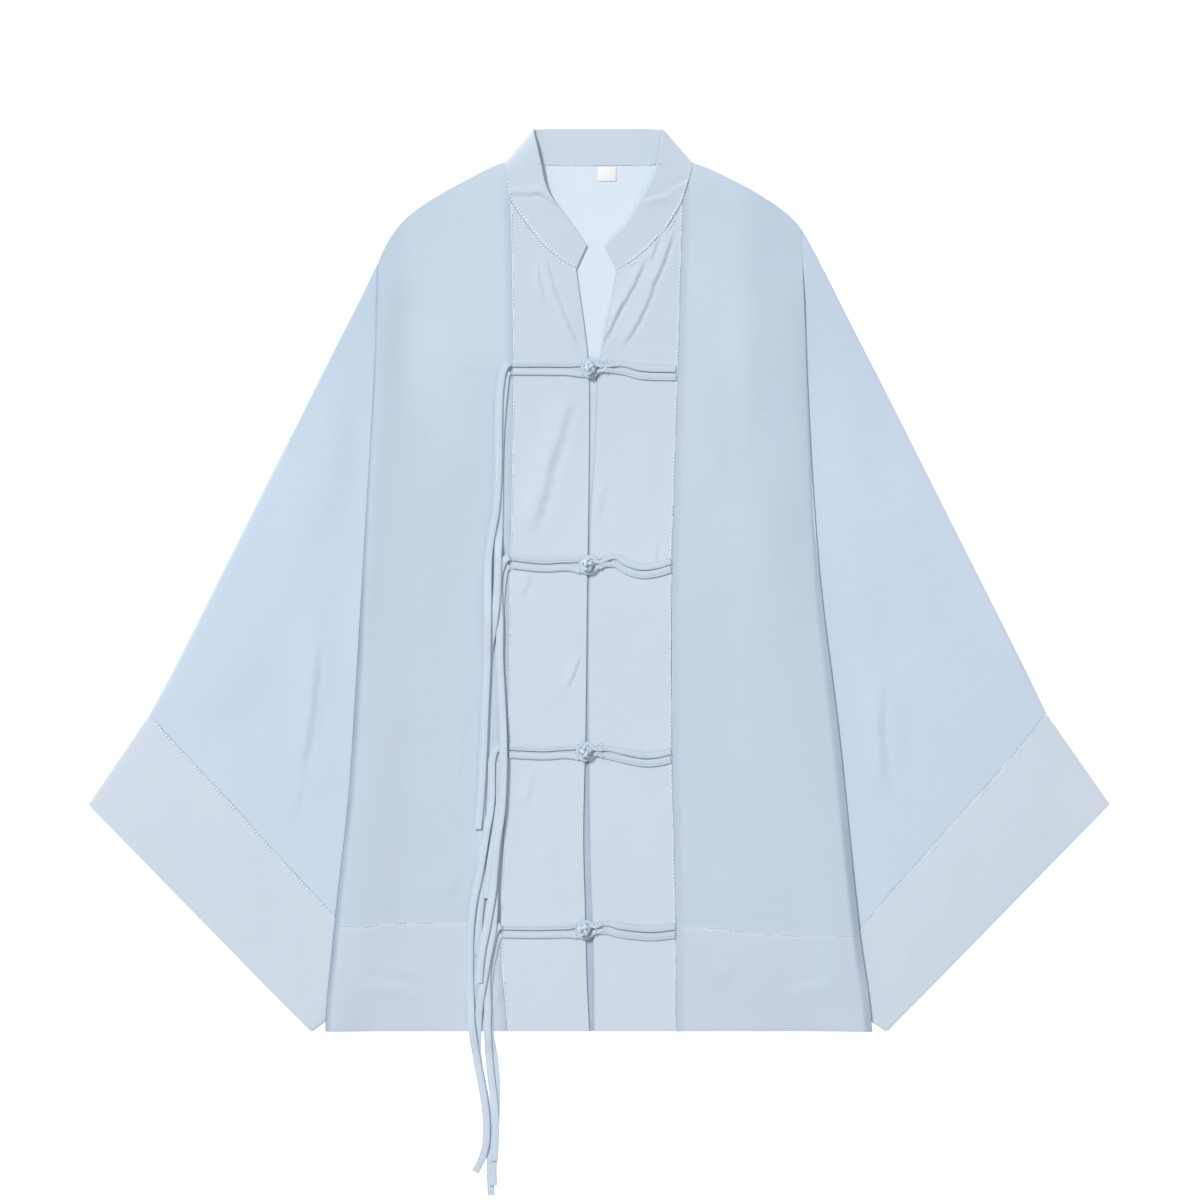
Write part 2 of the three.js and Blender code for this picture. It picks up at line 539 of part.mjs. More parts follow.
// Share of a rise that grows from none to all over a stretch, which may be shifted
function share(value, { from, to }, shift = 0) {
  return THREE.MathUtils.smoothstep(value, from + shift, to + shift);
}

// The body rises over the inner edge of the sleeve and cuff that lie under its sides. The front
// rises a little further in than the back, so it never meets it
function sleeveLift(x, y, further = 0) {
  const inward = sideAt(x, y) - Math.abs(x);
  const reach = between(SLEEVE_TUCK, y, 'reach');
  const full = THREE.MathUtils.lerp(CUFF_HEIGHT, SLEEVE_HEIGHT, share(y, OVER_CUFF)) + GAP;
  const belowShoulder = 1 - share(y, SHOULDER_FADE, 2 * further);
  return full * belowShoulder * (1 - share(inward, INWARD_FADE, reach + further));
}

function neckRise(x, y) {
  const distance = Math.hypot(Math.abs(x) - NECK_RISE.out, y - NECK_RISE.y);
  return NECK_RISE.height * Math.exp(-((distance / NECK_RISE.spread) ** 2));
}

function frontUnderside(x, y) {
  return FRONT_LEVEL + sleeveLift(x, y, FRONT_FURTHER) + neckRise(x, y) + creaseHeight(FRONT_CREASES, x, y);
}

function bandUnderside(x, y) {
  return FRONT_LEVEL + neckRise(x, y) + creaseHeight(BAND_CREASES, x, y);
}

function add(name, geometry, look) {
  const material = new THREE.MeshStandardMaterial({ ...LOOKS[look], metalness: 0 });
  const mesh = new THREE.Mesh(geometry, material);
  mesh.name = name;
  jacket.add(mesh);
}

// The body's side edge from the hem to the sleeve's start at the shoulder
function bodySide(side) {
  const top = SHOULDERS[side][0].y;
  const rows = SIDE_SEAMS.filter((row) => row.y < top - 1);
  const points = rows.map((row) => [SIGN[side] * row[side], row.y]);
  return [...points, [SIGN[side] * SHOULDERS[side][0].out, top]];
}

function addBack() {
  const left = sidePoints(SHOULDERS.left, 'left').reverse();
  const right = sidePoints(SHOULDERS.right, 'right');
  const neck = [-1, 1].map((sign) => [sign * BACK_NECK.cornerOut, BACK_NECK.panelY]);
  const patch = patchBetween({
    lower: stretchesThrough([[-SIDE_SEAMS[0].right, HEM_Y], [SIDE_SEAMS[0].left, HEM_Y]]),
    upper: stretchesThrough([...right, ...neck, ...left]),
    start: lineThrough(bodySide('right')),
    end: lineThrough(bodySide('left')),
  });
  const panel = clothPanel({
    patch, columns: 24, rows: 18, underside: (x, y) => sleeveLift(x, y), wall: CLOTH,
    columnAt: crowdedAtBoth,
  });
  add('back', panel, 'body');
}

// Points a little way out from the collar's lower seam, from the neck side to the front end
function collarSeam(side, first, last, away) {
  return COLLAR_STATIONS[side].slice(first, last + 1).reverse().map(({ seamOut, seamY }) => {
    const outward = new THREE.Vector2(seamOut, seamY - NECK_MIDDLE_Y).setLength(away);
    return [SIGN[side] * (seamOut + outward.x), seamY + outward.y];
  });
}

function addFront(side) {
  const seam = BAND_SEAMS[side].map(({ out, y }) => [SIGN[side] * (out + SEAM), y]);
  const shoulder = sidePoints(SHOULDERS[side], side);
  const neck = [shoulder.at(-1), ...collarSeam(side, 4, 6, NECK_SEAM)];
  const inner = [...neck, ...seam.reverse().slice(1)].reverse();
  const patch = patchBetween({
    lower: stretchesThrough([[SIGN[side] * SIDE_SEAMS[0][side], HEM_Y], inner[0]]),
    upper: stretchesThrough(shoulder),
    start: lineThrough(bodySide(side)),
    end: lineThrough(inner),
  });
  const panel = clothPanel({
    patch, columns: 10, rows: 22, underside: frontUnderside, wall: CLOTH,
    columnAt: crowdedAtStart, rowAt: (level) => 1 - crowdedAtStart(1 - level),
  });
  add(`${side}_front`, panel, 'body');
}

function addBand(side) {
  const seam = sidePoints(BAND_SEAMS[side], side);
  const open = sidePoints(OPEN_EDGES[side], side);
  const neck = collarSeam(side, 0, 4, SEAM);
  seam[seam.length - 1] = neck[0];
  open[open.length - 1] = neck.at(-1);
  const patch = patchBetween({
    lower: stretchesThrough([seam[0], open[0]]),
    upper: lineThrough(neck),
    start: lineThrough(seam),
    end: lineThrough(open),
  });
  const panel = clothPanel({ patch, columns: 5, rows: 24, underside: bandUnderside, wall: DOUBLED });
  add(`${side}_front_band`, panel, 'doubled');
}

// Points of the edge that is tucked in under the body, at the given levels
function tuckedEdge(side, levels) {
  return levels.map((y) => {
    const out = between(SIDE_SEAMS, y, side) - between(SLEEVE_TUCK, y, 'reach');
    return [SIGN[side] * out, y];
  });
}

function puffShare(x, y) {
  return share(Math.abs(x) - sideAt(x, y), PUFF_CLEAR);
}

function addSleeve(side) {
  const topFold = sidePoints(SLEEVE_TOPS[side], side);
  const cuffSeam = sidePoints(CUFF_SEAMS[side], side);
  const patch = patchBetween({
    lower: lineThrough([topFold[0], ...tuckedEdge(side, [...ARMHOLE_LEVELS, UNDERARM_Y])]),
    upper: lineThrough(cuffSeam),
    start: lineThrough(topFold),
    end: lineThrough([...tuckedEdge(side, [UNDERARM_Y, ...SLEEVE_FOLD_LEVELS]), cuffSeam.at(-1)]),
  });
  const seamStop = 1 - SEAM / SLEEVE_LENGTH;
  const fullest = 0.4;
  const height = (x, y, u, v) => {
    const across = Math.sin(Math.PI * Math.min(u / (2 * fullest), 1));
    const puff = SLEEVE_PUFF * across * Math.sin(Math.PI * v);
    return SLEEVE_HEIGHT + puffShare(x, y) * (puff + creaseHeight(SLEEVE_CREASES, x, y));
  };
  const tube = clothTube((u, v) => patch(u, v * seamStop), 9, 14, CLOTH, height);
  add(`${side}_sleeve`, tube, 'sleeve');
}

function addCuff(side) {
  const cuffSeam = sidePoints(CUFF_SEAMS[side], side);
  const { outer, lower, turn } = CUFF_ENDS[side];
  const openEnd = sidePoints([outer, lower, turn], side);
  const patch = patchBetween({
    lower: lineThrough(cuffSeam),
    upper: stretchesThrough(openEnd),
    start: stretchesThrough([cuffSeam[0], openEnd[0]]),
    end: lineThrough([cuffSeam.at(-1), ...tuckedEdge(side, CUFF_FOLD_LEVELS), openEnd.at(-1)]),
  });
  const height = (x, y, u, v) => {
    const puff = CUFF_PUFF * Math.sin(Math.PI * u) * Math.sin(Math.PI * v);
    return CUFF_HEIGHT + puffShare(x, y) * puff;
  };
  add(`${side}_cuff`, clothTube(patch, 9, 5, DOUBLED, height), 'doubled');
}

function addCollar() {
  const along = 40;
  const up = 3;
  const stations = [
    ...COLLAR_STATIONS.right.map((row) => ({ ...row, sign: -1 })),
    {
      seamOut: 0, seamY: BACK_NECK.seamY, seamZ: BACK_NECK.middle,
      edgeOut: 0, edgeY: BACK_NECK.edgeY, edgeZ: BACK_NECK.middle, sign: 1,
    },
    ...COLLAR_STATIONS.left.map((row) => ({ ...row, sign: 1 })).reverse(),
  ];
  const rail = (out, y, z) => new THREE.CatmullRomCurve3(
    stations.map((row) => new THREE.Vector3(row.sign * row[out], row[y], row[z])), false, 'centripetal',
  );
  const seam = rail('seamOut', 'seamY', 'seamZ');
  const edge = rail('edgeOut', 'edgeY', 'edgeZ');
  const middle = (place, height) => seam.getPoint(place).lerp(edge.getPoint(place), height);
  const skin = (side) => (i, j) => {
    const place = j / along;
    const height = i / up;
    const step = 0.004;
    const before = middle(Math.max(place - step, 0), height);
    const ahead = middle(Math.min(place + step, 1), height).sub(before);
    const rise = middle(place, 1).sub(middle(place, 0));
    const normal = ahead.cross(rise).normalize();
    return middle(place, height).addScaledVector(normal, (side * DOUBLED) / 2).toArray();
  };
  add('collar', wallBetween(skin(-1), skin(1), up, along), 'doubled');
}

function flatSection(width, thickness, sides) {
  const points = Array.from({ length: sides }, (_, i) => {
    const angle = (2 * Math.PI * (i + 0.5)) / sides;
    return new THREE.Vector2((thickness / 2) * Math.cos(angle), (width / 2) * Math.sin(angle));
  });
  return new THREE.Shape(points);
}

// A route whose section stays level: its width lies flat and its thickness points up
class LevelRoute extends THREE.CatmullRomCurve3 {
  computeFrenetFrames(segments) {
    const frames = { tangents: [], normals: [], binormals: [] };
    const up = new THREE.Vector3(0, 0, 1);
    for (let i = 0; i <= segments; i++) {
      const tangent = this.getTangentAt(i / segments);
      const binormal = new THREE.Vector3().crossVectors(tangent, up).normalize();
      frames.tangents.push(tangent);
      frames.normals.push(new THREE.Vector3().crossVectors(binormal, tangent));
      frames.binormals.push(binormal);
    }
    return frames;
  }
}

function flatCord(points, width, thickness, steps) {
  const route = new LevelRoute(points, false, 'centripetal');
  return new THREE.ExtrudeGeometry(flatSection(width, thickness, 8), { steps, extrudePath: route });
}

// A hairpin of cord: out beside a line, round a turn about the knot, and back on the line's other side
function hairpin(line, low, turn) {
  const beside = (points, offset) => points.map(({ x, y }) => new THREE.Vector3(x, y + offset, low));
  const half = STRAND_SPACING / 2;
  return [...beside([...line].reverse(), half), ...turn, ...beside(line, -half)];
}

function turnAbout({ knotX, knotY }, radius, angles, z) {
  return angles.map((degrees) => {
    const angle = THREE.MathUtils.degToRad(degrees);
    return new THREE.Vector3(knotX + radius * Math.cos(angle), knotY + radius * Math.sin(angle), z);
  });
}

function addFasteningCords(fastening, number) {
  const low = BAND_TOP + GAP + CORD_THICKNESS / 2;
  const high = low + CORD_THICKNESS + GAP;
  const buttonTurn = turnAbout(fastening, STRAND_SPACING / 2, BUTTON_TURN, low);
  const loopTurn = turnAbout(fastening, LOOP_RADIUS, LOOP_TURN, high);
  const button = hairpin(fastening.buttonLine, low, buttonTurn);
  const loop = hairpin(fastening.loopLine, low, loopTurn);
  const section = [CORD_WIDTH, CORD_THICKNESS];
  add(`button_cord_${number}`, flatCord(button, ...section, BUTTON_CORD_STEPS), 'cord');
  add(`loop_cord_${number}`, flatCord(loop, ...section, LOOP_CORD_STEPS), 'cord');
}

// The ball of the knot, over the loop, with the bulges of its crossed strands
function addKnot({ knotX, knotY }, number) {
  const floor = BAND_TOP + 2 * GAP + CORD_THICKNESS;
  const ballBase = floor + CORD_THICKNESS + GAP;
  const outline = [[0, floor], [KNOT_NECK, floor], [KNOT_NECK, ballBase]].map(
    ([out, height]) => new THREE.Vector2(out, height),
  );
  for (const degrees of KNOT_RINGS) {
    const angle = THREE.MathUtils.degToRad(degrees);
    const height = ballBase + KNOT_HEIGHT / 2 + (KNOT_HEIGHT / 2) * Math.sin(angle);
    outline.push(new THREE.Vector2(KNOT_RADIUS * Math.cos(angle), height));
  }
  outline.push(new THREE.Vector2(0, ballBase + KNOT_HEIGHT));
  const geometry = new THREE.LatheGeometry(outline, 12);
  const position = geometry.getAttribute('position');
  for (let i = 0; i < position.count; i++) {
    const x = position.getX(i);
    const z = position.getZ(i);
    const bulge = 1 + KNOT_BULGE * Math.cos(3 * Math.atan2(z, x) + position.getY(i));
    const scale = Math.hypot(x, z) > KNOT_NECK + GAP ? bulge : 1;
    position.setX(i, x * scale);
    position.setZ(i, z * scale);
  }
  geometry.rotateX(Math.PI / 2);
  geometry.translate(knotX, knotY, 0);
  add(`knot_${number}`, geometry, 'cord');
}

// What a tie lies on: the band's top, the front, then the surface past the hem
function restingLevel(x, y) {
  const shelf = THREE.MathUtils.smoothstep(x, BAND_FOOT_X, BAND_SHELF_X) * (DOUBLED - CLOTH);
  const onCloth = THREE.MathUtils.smoothstep(y, HEM_Y - 20, HEM_Y - 4);
  return onCloth * (FRONT_LEVEL + CLOTH + shelf);
}

function addTie(name, route) {
  const points = route.map(({ x, y, under }) => {
    const z = restingLevel(x, y) + GAP + TIE_THICKNESS / 2 + under * TIE_PITCH;
    return new THREE.Vector3(x, y, z);
  });
  const length = new THREE.CatmullRomCurve3(points, false, 'centripetal').getLength();
  const steps = Math.ceil(length / TIE_STEP);
  add(name, flatCord(points, TIE_WIDTH, TIE_THICKNESS, steps), 'cord');
}

function addLabel() {
  const geometry = new THREE.BoxGeometry(LABEL.width, LABEL.height, LABEL.thickness);
  geometry.translate(LABEL.x, LABEL.y, CLOTH + GAP + LABEL.thickness / 2);
  add('size_label', geometry, 'label');
}

addBack();
for (const side of ['right', 'left']) {
  addFront(side);
  addBand(side);
  addSleeve(side);
  addCuff(side);
}
addCollar();
FASTENINGS.forEach((fastening, i) => {
  addFasteningCords(fastening, i + 1);
  addKnot(fastening, i + 1);
});
for (const [name, route] of Object.entries(TIES)) addTie(name, route);
addLabel();

export default jacket;
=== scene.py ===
import json
import math
import random

import bmesh
import bpy
import numpy as np
from mathutils import Euler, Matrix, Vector
from mathutils.bvhtree import BVHTree

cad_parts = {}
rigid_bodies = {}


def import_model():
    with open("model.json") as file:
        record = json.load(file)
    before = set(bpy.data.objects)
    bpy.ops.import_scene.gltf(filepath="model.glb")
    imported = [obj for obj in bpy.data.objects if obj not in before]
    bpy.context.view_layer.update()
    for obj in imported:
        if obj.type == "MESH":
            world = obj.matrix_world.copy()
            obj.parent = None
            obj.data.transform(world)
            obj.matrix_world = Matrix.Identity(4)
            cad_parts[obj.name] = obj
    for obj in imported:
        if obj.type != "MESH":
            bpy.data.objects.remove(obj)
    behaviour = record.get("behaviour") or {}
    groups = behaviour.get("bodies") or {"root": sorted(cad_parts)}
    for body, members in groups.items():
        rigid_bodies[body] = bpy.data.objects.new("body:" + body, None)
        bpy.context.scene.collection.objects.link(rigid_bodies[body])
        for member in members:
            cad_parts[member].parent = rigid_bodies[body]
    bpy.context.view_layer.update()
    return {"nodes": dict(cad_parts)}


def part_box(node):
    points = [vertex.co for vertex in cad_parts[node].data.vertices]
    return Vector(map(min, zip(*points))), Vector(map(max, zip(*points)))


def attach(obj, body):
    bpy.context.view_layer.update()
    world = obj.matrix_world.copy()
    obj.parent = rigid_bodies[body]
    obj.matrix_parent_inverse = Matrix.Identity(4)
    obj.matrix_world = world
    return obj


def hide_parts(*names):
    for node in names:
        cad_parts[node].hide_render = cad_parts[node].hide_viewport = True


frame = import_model()
solids = frame["nodes"]
MM = 0.001

# Camera: the jacket lies on its back on a flat surface and is seen from straight above, with the
# collar at the top of the picture, as in the photograph.
VIEW_SPAN = 1.056
VIEW_MIDDLE = (0.0009, -0.0178)
CAMERA_LENS = 100
CAMERA_SENSOR = 36
CLOTH_TOP = 0.003


def link_object(name, data):
    thing = bpy.data.objects.new(name, data)
    bpy.context.scene.collection.objects.link(thing)
    return thing


camera_data = bpy.data.cameras.new("camera")
camera_data.lens = CAMERA_LENS
camera_data.sensor_width = CAMERA_SENSOR
camera = link_object("camera", camera_data)
camera.location = (*VIEW_MIDDLE, VIEW_SPAN * CAMERA_LENS / CAMERA_SENSOR + CLOTH_TOP)
bpy.context.scene.camera = camera


# Free ties: eight narrow strips of the jacket's own cloth, folded, pressed and stitched along one
# edge. Two leave the right band's seam at each fastening and hang down past the hem.
TIE_WIDTH = 0.0066
TIE_THICKNESS = 0.0013
TIE_PITCH = 0.002
LAYER_GAP = 0.0003
HEM_Y = -0.3975
FRONT_TOP = 0.0027
BAND_STEP = 0.0003
# Where a tie comes down off the band's edge, and how far below the hem it comes down off the cloth
BAND_EDGE = (-0.084, -0.080)
HEM_DROP = (0.020, 0.004)
# Columns: x, y and the number of ties that lie beneath the point
TIE_ROUTES = {
    "tie_1_outer": [
        (-0.0792, 0.1908, 0.6), (-0.082, 0.1884, 1.1), (-0.0846, 0.1828, 1.2), (-0.0864, 0.1735, 1),
        (-0.0876, 0.16, 1), (-0.0882, 0.134, 1), (-0.0884, 0.106, 1), (-0.0892, 0.08, 1),
        (-0.0912, 0.058, 1), (-0.0948, 0.038, 1), (-0.097, 0.02, 0.8), (-0.0976, 0.0, 1.5),
        (-0.0976, -0.02, 2.8), (-0.0978, -0.036, 3), (-0.0982, -0.052, 2.2), (-0.0984, -0.07, 1.1),
        (-0.099, -0.088, 1), (-0.1, -0.11, 1), (-0.101, -0.136, 1), (-0.1024, -0.165, 1),
        (-0.1036, -0.185, 1), (-0.1052, -0.205, 1), (-0.1066, -0.219, 1.4),
    ],
    "tie_1_inner": [
        (-0.0792, 0.1833, 0), (-0.0809, 0.1816, 0), (-0.0822, 0.1766, 0), (-0.0835, 0.165, 0),
        (-0.0852, 0.147, 0), (-0.0868, 0.121, 0), (-0.0874, 0.096, 0), (-0.0874, 0.07, 0),
        (-0.0878, 0.044, 0), (-0.0883, 0.033, 0.5), (-0.0887, 0.023, 1.9), (-0.0888, 0.012, 2),
        (-0.0892, 0.0, 2), (-0.09, -0.016, 2), (-0.0916, -0.032, 2), (-0.094, -0.047, 1.2),
        (-0.096, -0.06, 0.1), (-0.0974, -0.076, 0), (-0.099, -0.1, 0), (-0.1, -0.13, 0),
        (-0.1014, -0.165, 0), (-0.103, -0.2, 0), (-0.1034, -0.235, 0), (-0.103, -0.262, 0),
        (-0.1036, -0.28, 0), (-0.1052, -0.297, 0), (-0.106, -0.313, 0), (-0.1066, -0.33, 0),
    ],
    "tie_2_outer": [
        (-0.0792, 0.0202, 0.6), (-0.0824, 0.0182, 1.1), (-0.0858, 0.0126, 1.2), (-0.088, 0.003, 1),
        (-0.0882, -0.012, 1), (-0.0872, -0.04, 1), (-0.0874, -0.068, 1), (-0.086, -0.098, 1),
        (-0.0846, -0.124, 1.4), (-0.084, -0.14, 2), (-0.0838, -0.156, 2), (-0.0842, -0.176, 2),
        (-0.086, -0.206, 2), (-0.0894, -0.229, 2), (-0.092, -0.256, 2), (-0.0938, -0.276, 2.4),
        (-0.0964, -0.292, 3), (-0.099, -0.307, 3), (-0.1022, -0.322, 3), (-0.1044, -0.338, 3),
        (-0.1056, -0.354, 2.8),
    ],
    "tie_2_inner": [
        (-0.0792, 0.0124, 0), (-0.0814, 0.0112, 0), (-0.0834, 0.006, 0), (-0.0852, -0.006, 0),
        (-0.0864, -0.022, 0), (-0.0872, -0.045, 0), (-0.0872, -0.07, 0), (-0.0858, -0.098, 0),
        (-0.0846, -0.124, 0.5), (-0.0842, -0.138, 1), (-0.0844, -0.152, 1), (-0.0854, -0.176, 1),
        (-0.0884, -0.204, 1), (-0.0922, -0.229, 1), (-0.0946, -0.244, 1), (-0.097, -0.262, 1),
        (-0.0984, -0.28, 1),
    ],
    "tie_3_outer": [
        (-0.0807, -0.1466, 0), (-0.0856, -0.1468, 0), (-0.0906, -0.1492, 0), (-0.0936, -0.156, 0),
        (-0.0946, -0.17, 0), (-0.0946, -0.188, 0), (-0.0958, -0.204, 0.5), (-0.0988, -0.22, 1),
        (-0.1014, -0.236, 1), (-0.1044, -0.254, 1), (-0.1072, -0.268, 1), (-0.1102, -0.282, 1),
        (-0.1122, -0.298, 0.9), (-0.1134, -0.315, 0.2), (-0.1136, -0.335, 0), (-0.1134, -0.358, 0),
        (-0.1128, -0.374, 0.4), (-0.1124, -0.388, 1.2), (-0.1106, -0.403, 1.1),
        (-0.1086, -0.417, 1.1), (-0.1048, -0.437, 1), (-0.1014, -0.456, 1), (-0.0994, -0.473, 1),
        (-0.099, -0.486, 1), (-0.0998, -0.497, 1), (-0.1026, -0.508, 0.7), (-0.106, -0.516, 0.1),
        (-0.1094, -0.5215, 0),
    ],
    "tie_3_inner": [
        (-0.0807, -0.1538, 0), (-0.0834, -0.1546, 0), (-0.086, -0.159, 0), (-0.0872, -0.17, 0),
        (-0.0874, -0.188, 0), (-0.0876, -0.208, 0), (-0.0886, -0.229, 0), (-0.0902, -0.251, 0),
        (-0.0916, -0.27, 0.4), (-0.092, -0.284, 1.5), (-0.0926, -0.298, 2), (-0.0944, -0.314, 2),
        (-0.0976, -0.33, 2), (-0.1004, -0.346, 2), (-0.103, -0.36, 2), (-0.105, -0.374, 1.2),
        (-0.106, -0.386, 0.2), (-0.1066, -0.398, 0), (-0.1068, -0.41, 0), (-0.106, -0.424, 0),
        (-0.1036, -0.438, 0), (-0.1, -0.456, 0), (-0.0974, -0.474, 0), (-0.0964, -0.49, 0),
        (-0.096, -0.508, 0), (-0.0956, -0.526, 0), (-0.095, -0.542, 0),
    ],
    "tie_4_outer": [
        (-0.0863, -0.3044, 0.6), (-0.0892, -0.3056, 1.1), (-0.092, -0.31, 1.2), (-0.094, -0.319, 1),
        (-0.097, -0.333, 1), (-0.0984, -0.347, 1), (-0.0984, -0.361, 1), (-0.0978, -0.376, 1),
        (-0.0982, -0.39, 1), (-0.0978, -0.403, 1), (-0.097, -0.418, 1), (-0.0952, -0.437, 1),
        (-0.0928, -0.456, 1.2), (-0.0914, -0.474, 2), (-0.091, -0.488, 2), (-0.0916, -0.5, 2),
        (-0.0922, -0.511, 2),
    ],
    "tie_4_inner": [
        (-0.0863, -0.312, 0), (-0.0884, -0.3134, 0), (-0.0904, -0.318, 0), (-0.0926, -0.327, 0),
        (-0.095, -0.339, 0), (-0.0966, -0.351, 0), (-0.097, -0.364, 0), (-0.0964, -0.38, 0),
        (-0.096, -0.392, 0), (-0.0949, -0.404, 0), (-0.0926, -0.418, 0), (-0.0906, -0.437, 0),
        (-0.0902, -0.456, 0.2), (-0.0906, -0.472, 1), (-0.0916, -0.49, 1), (-0.0926, -0.505, 1),
        (-0.0932, -0.52, 1), (-0.093, -0.533, 1),
    ],
}


def eased(value, start, end):
    share = min(max((value - start) / (end - start), 0), 1)
    return share * share * (3 - 2 * share)


def tie_height(x, y, beneath):
    on_band = eased(x, *BAND_EDGE) * BAND_STEP
    on_cloth = eased(y, HEM_Y - HEM_DROP[0], HEM_Y - HEM_DROP[1])
    surface = on_cloth * (FRONT_TOP + on_band)
    return surface + LAYER_GAP + TIE_THICKNESS / 2 + beneath * TIE_PITCH


def feed(tree, node, inputs):
    """Sets a node's inputs, and links those that are given a socket."""
    for name, value in inputs.items():
        if isinstance(value, bpy.types.NodeSocket):
            tree.links.new(value, node.inputs[name])
        else:
            node.inputs[name].default_value = value


def new_node(tree, kind, inputs=None, **settings):
    node = tree.nodes.new(kind)
    for name, value in settings.items():
        setattr(node, name, value)
    feed(tree, node, inputs or {})
    return node


def weave_group():
    """A plain weave with thicker threads here and there, in the object's own metres."""
    group = bpy.data.node_groups.new("plain_weave", "ShaderNodeTree")
    for way, name, kind in (
        ("INPUT", "Colour", "NodeSocketColor"), ("INPUT", "Shade", "NodeSocketColor"),
        ("INPUT", "Turn", "NodeSocketFloat"), ("INPUT", "Threads", "NodeSocketFloat"),
        ("INPUT", "Cloudy", "NodeSocketFloat"), ("OUTPUT", "Colour", "NodeSocketColor"),
        ("OUTPUT", "Height", "NodeSocketFloat"), ("OUTPUT", "Roughness", "NodeSocketFloat"),
    ):
        group.interface.new_socket(name, in_out=way, socket_type=kind)

    def added(kind, output, inputs=None, **settings):
        return new_node(group, kind, inputs, **settings).outputs[output]

    given = group.nodes.new("NodeGroupInput").outputs
    place = added("ShaderNodeTexCoord", "Object")
    turned = added("ShaderNodeVectorRotate", "Vector", {"Vector": place, "Angle": given["Turn"]},
                   rotation_type="Z_AXIS")

    threads = [
        added("ShaderNodeTexWave", "Fac", {
            "Vector": turned, "Scale": given["Threads"], "Distortion": 0.6, "Detail": 0,
            "Detail Scale": 0.3,
        }, bands_direction=direction)
        for direction in ("X", "Y")
    ]
    crossing = added("ShaderNodeMath", "Value", dict(enumerate(threads)), operation="MULTIPLY")

    slubs = []
    for stretch in ((30, 900, 30), (900, 30, 30)):
        mapped = added("ShaderNodeMapping", "Vector", {"Scale": stretch, "Vector": turned})
        slubs.append(added("ShaderNodeTexNoise", "Fac", {"Scale": 1, "Detail": 2, "Vector": mapped}))
    streaks = added("ShaderNodeMath", "Value", dict(enumerate(slubs)), operation="ADD")

    clouds = added("ShaderNodeTexNoise", "Fac", {
        "Scale": 7, "Detail": 3, "Roughness": 0.45, "Vector": place,
    })
    cloud_share = added("ShaderNodeMapRange", "Result", {
        "From Min": 0.35, "From Max": 0.65, "To Max": given["Cloudy"], "Value": clouds,
    })
    cloudy = added("ShaderNodeMix", "Result", {
        "Factor": cloud_share, "A": given["Colour"], "B": given["Shade"],
    }, data_type="RGBA")

    tone = added("ShaderNodeMapRange", "Result", {
        "From Min": 0.6, "From Max": 1.4, "To Min": 0.982, "To Max": 1.018, "Value": streaks,
    })
    toned = added("ShaderNodeVectorMath", "Vector", {0: cloudy, "Scale": tone}, operation="SCALE")
    pores = added("ShaderNodeMapRange", "Result", {"To Min": 0.97, "To Max": 1.01, "Value": crossing})
    woven = added("ShaderNodeVectorMath", "Vector", {0: toned, "Scale": pores}, operation="SCALE")
    height = added("ShaderNodeMath", "Value", {0: streaks, 1: 0.5, 2: crossing},
                   operation="MULTIPLY_ADD")
    rough = added("ShaderNodeMapRange", "Result", {"To Min": 0.95, "To Max": 0.82, "Value": crossing})
    put = group.nodes.new("NodeGroupOutput")
    feed(group, put, {"Colour": woven, "Height": height, "Roughness": rough})
    return group


plain_weave = weave_group()


def from_hex(text):
    values = [int(text[i:i + 2], 16) / 255 for i in (0, 2, 4)]
    linear = [v / 12.92 if v <= 0.04045 else ((v + 0.055) / 1.055) ** 2.4 for v in values]
    return (*linear, 1)


def cloth_material(name, colour, shade, turn=0.0, threads=260, cloudy=0.6, bump=0.14):
    """A matte cloth of the plain weave. Returns the material and its weave node."""
    material = bpy.data.materials.new(name)
    material.use_nodes = True
    tree = material.node_tree
    weave = new_node(tree, "ShaderNodeGroup", {
        "Colour": from_hex(colour), "Shade": from_hex(shade), "Turn": turn, "Threads": threads,
        "Cloudy": cloudy,
    }, node_tree=plain_weave)
    relief = new_node(tree, "ShaderNodeBump", {
        "Strength": bump, "Distance": 0.0002, "Height": weave.outputs["Height"],
    })
    feed(tree, tree.nodes["Principled BSDF"], {
        "Specular IOR Level": 0.25, "Sheen Weight": 0.08, "Sheen Roughness": 0.6,
        "Base Color": weave.outputs["Colour"], "Roughness": weave.outputs["Roughness"],
        "Normal": relief.outputs["Normal"],
    })
    return material, weave


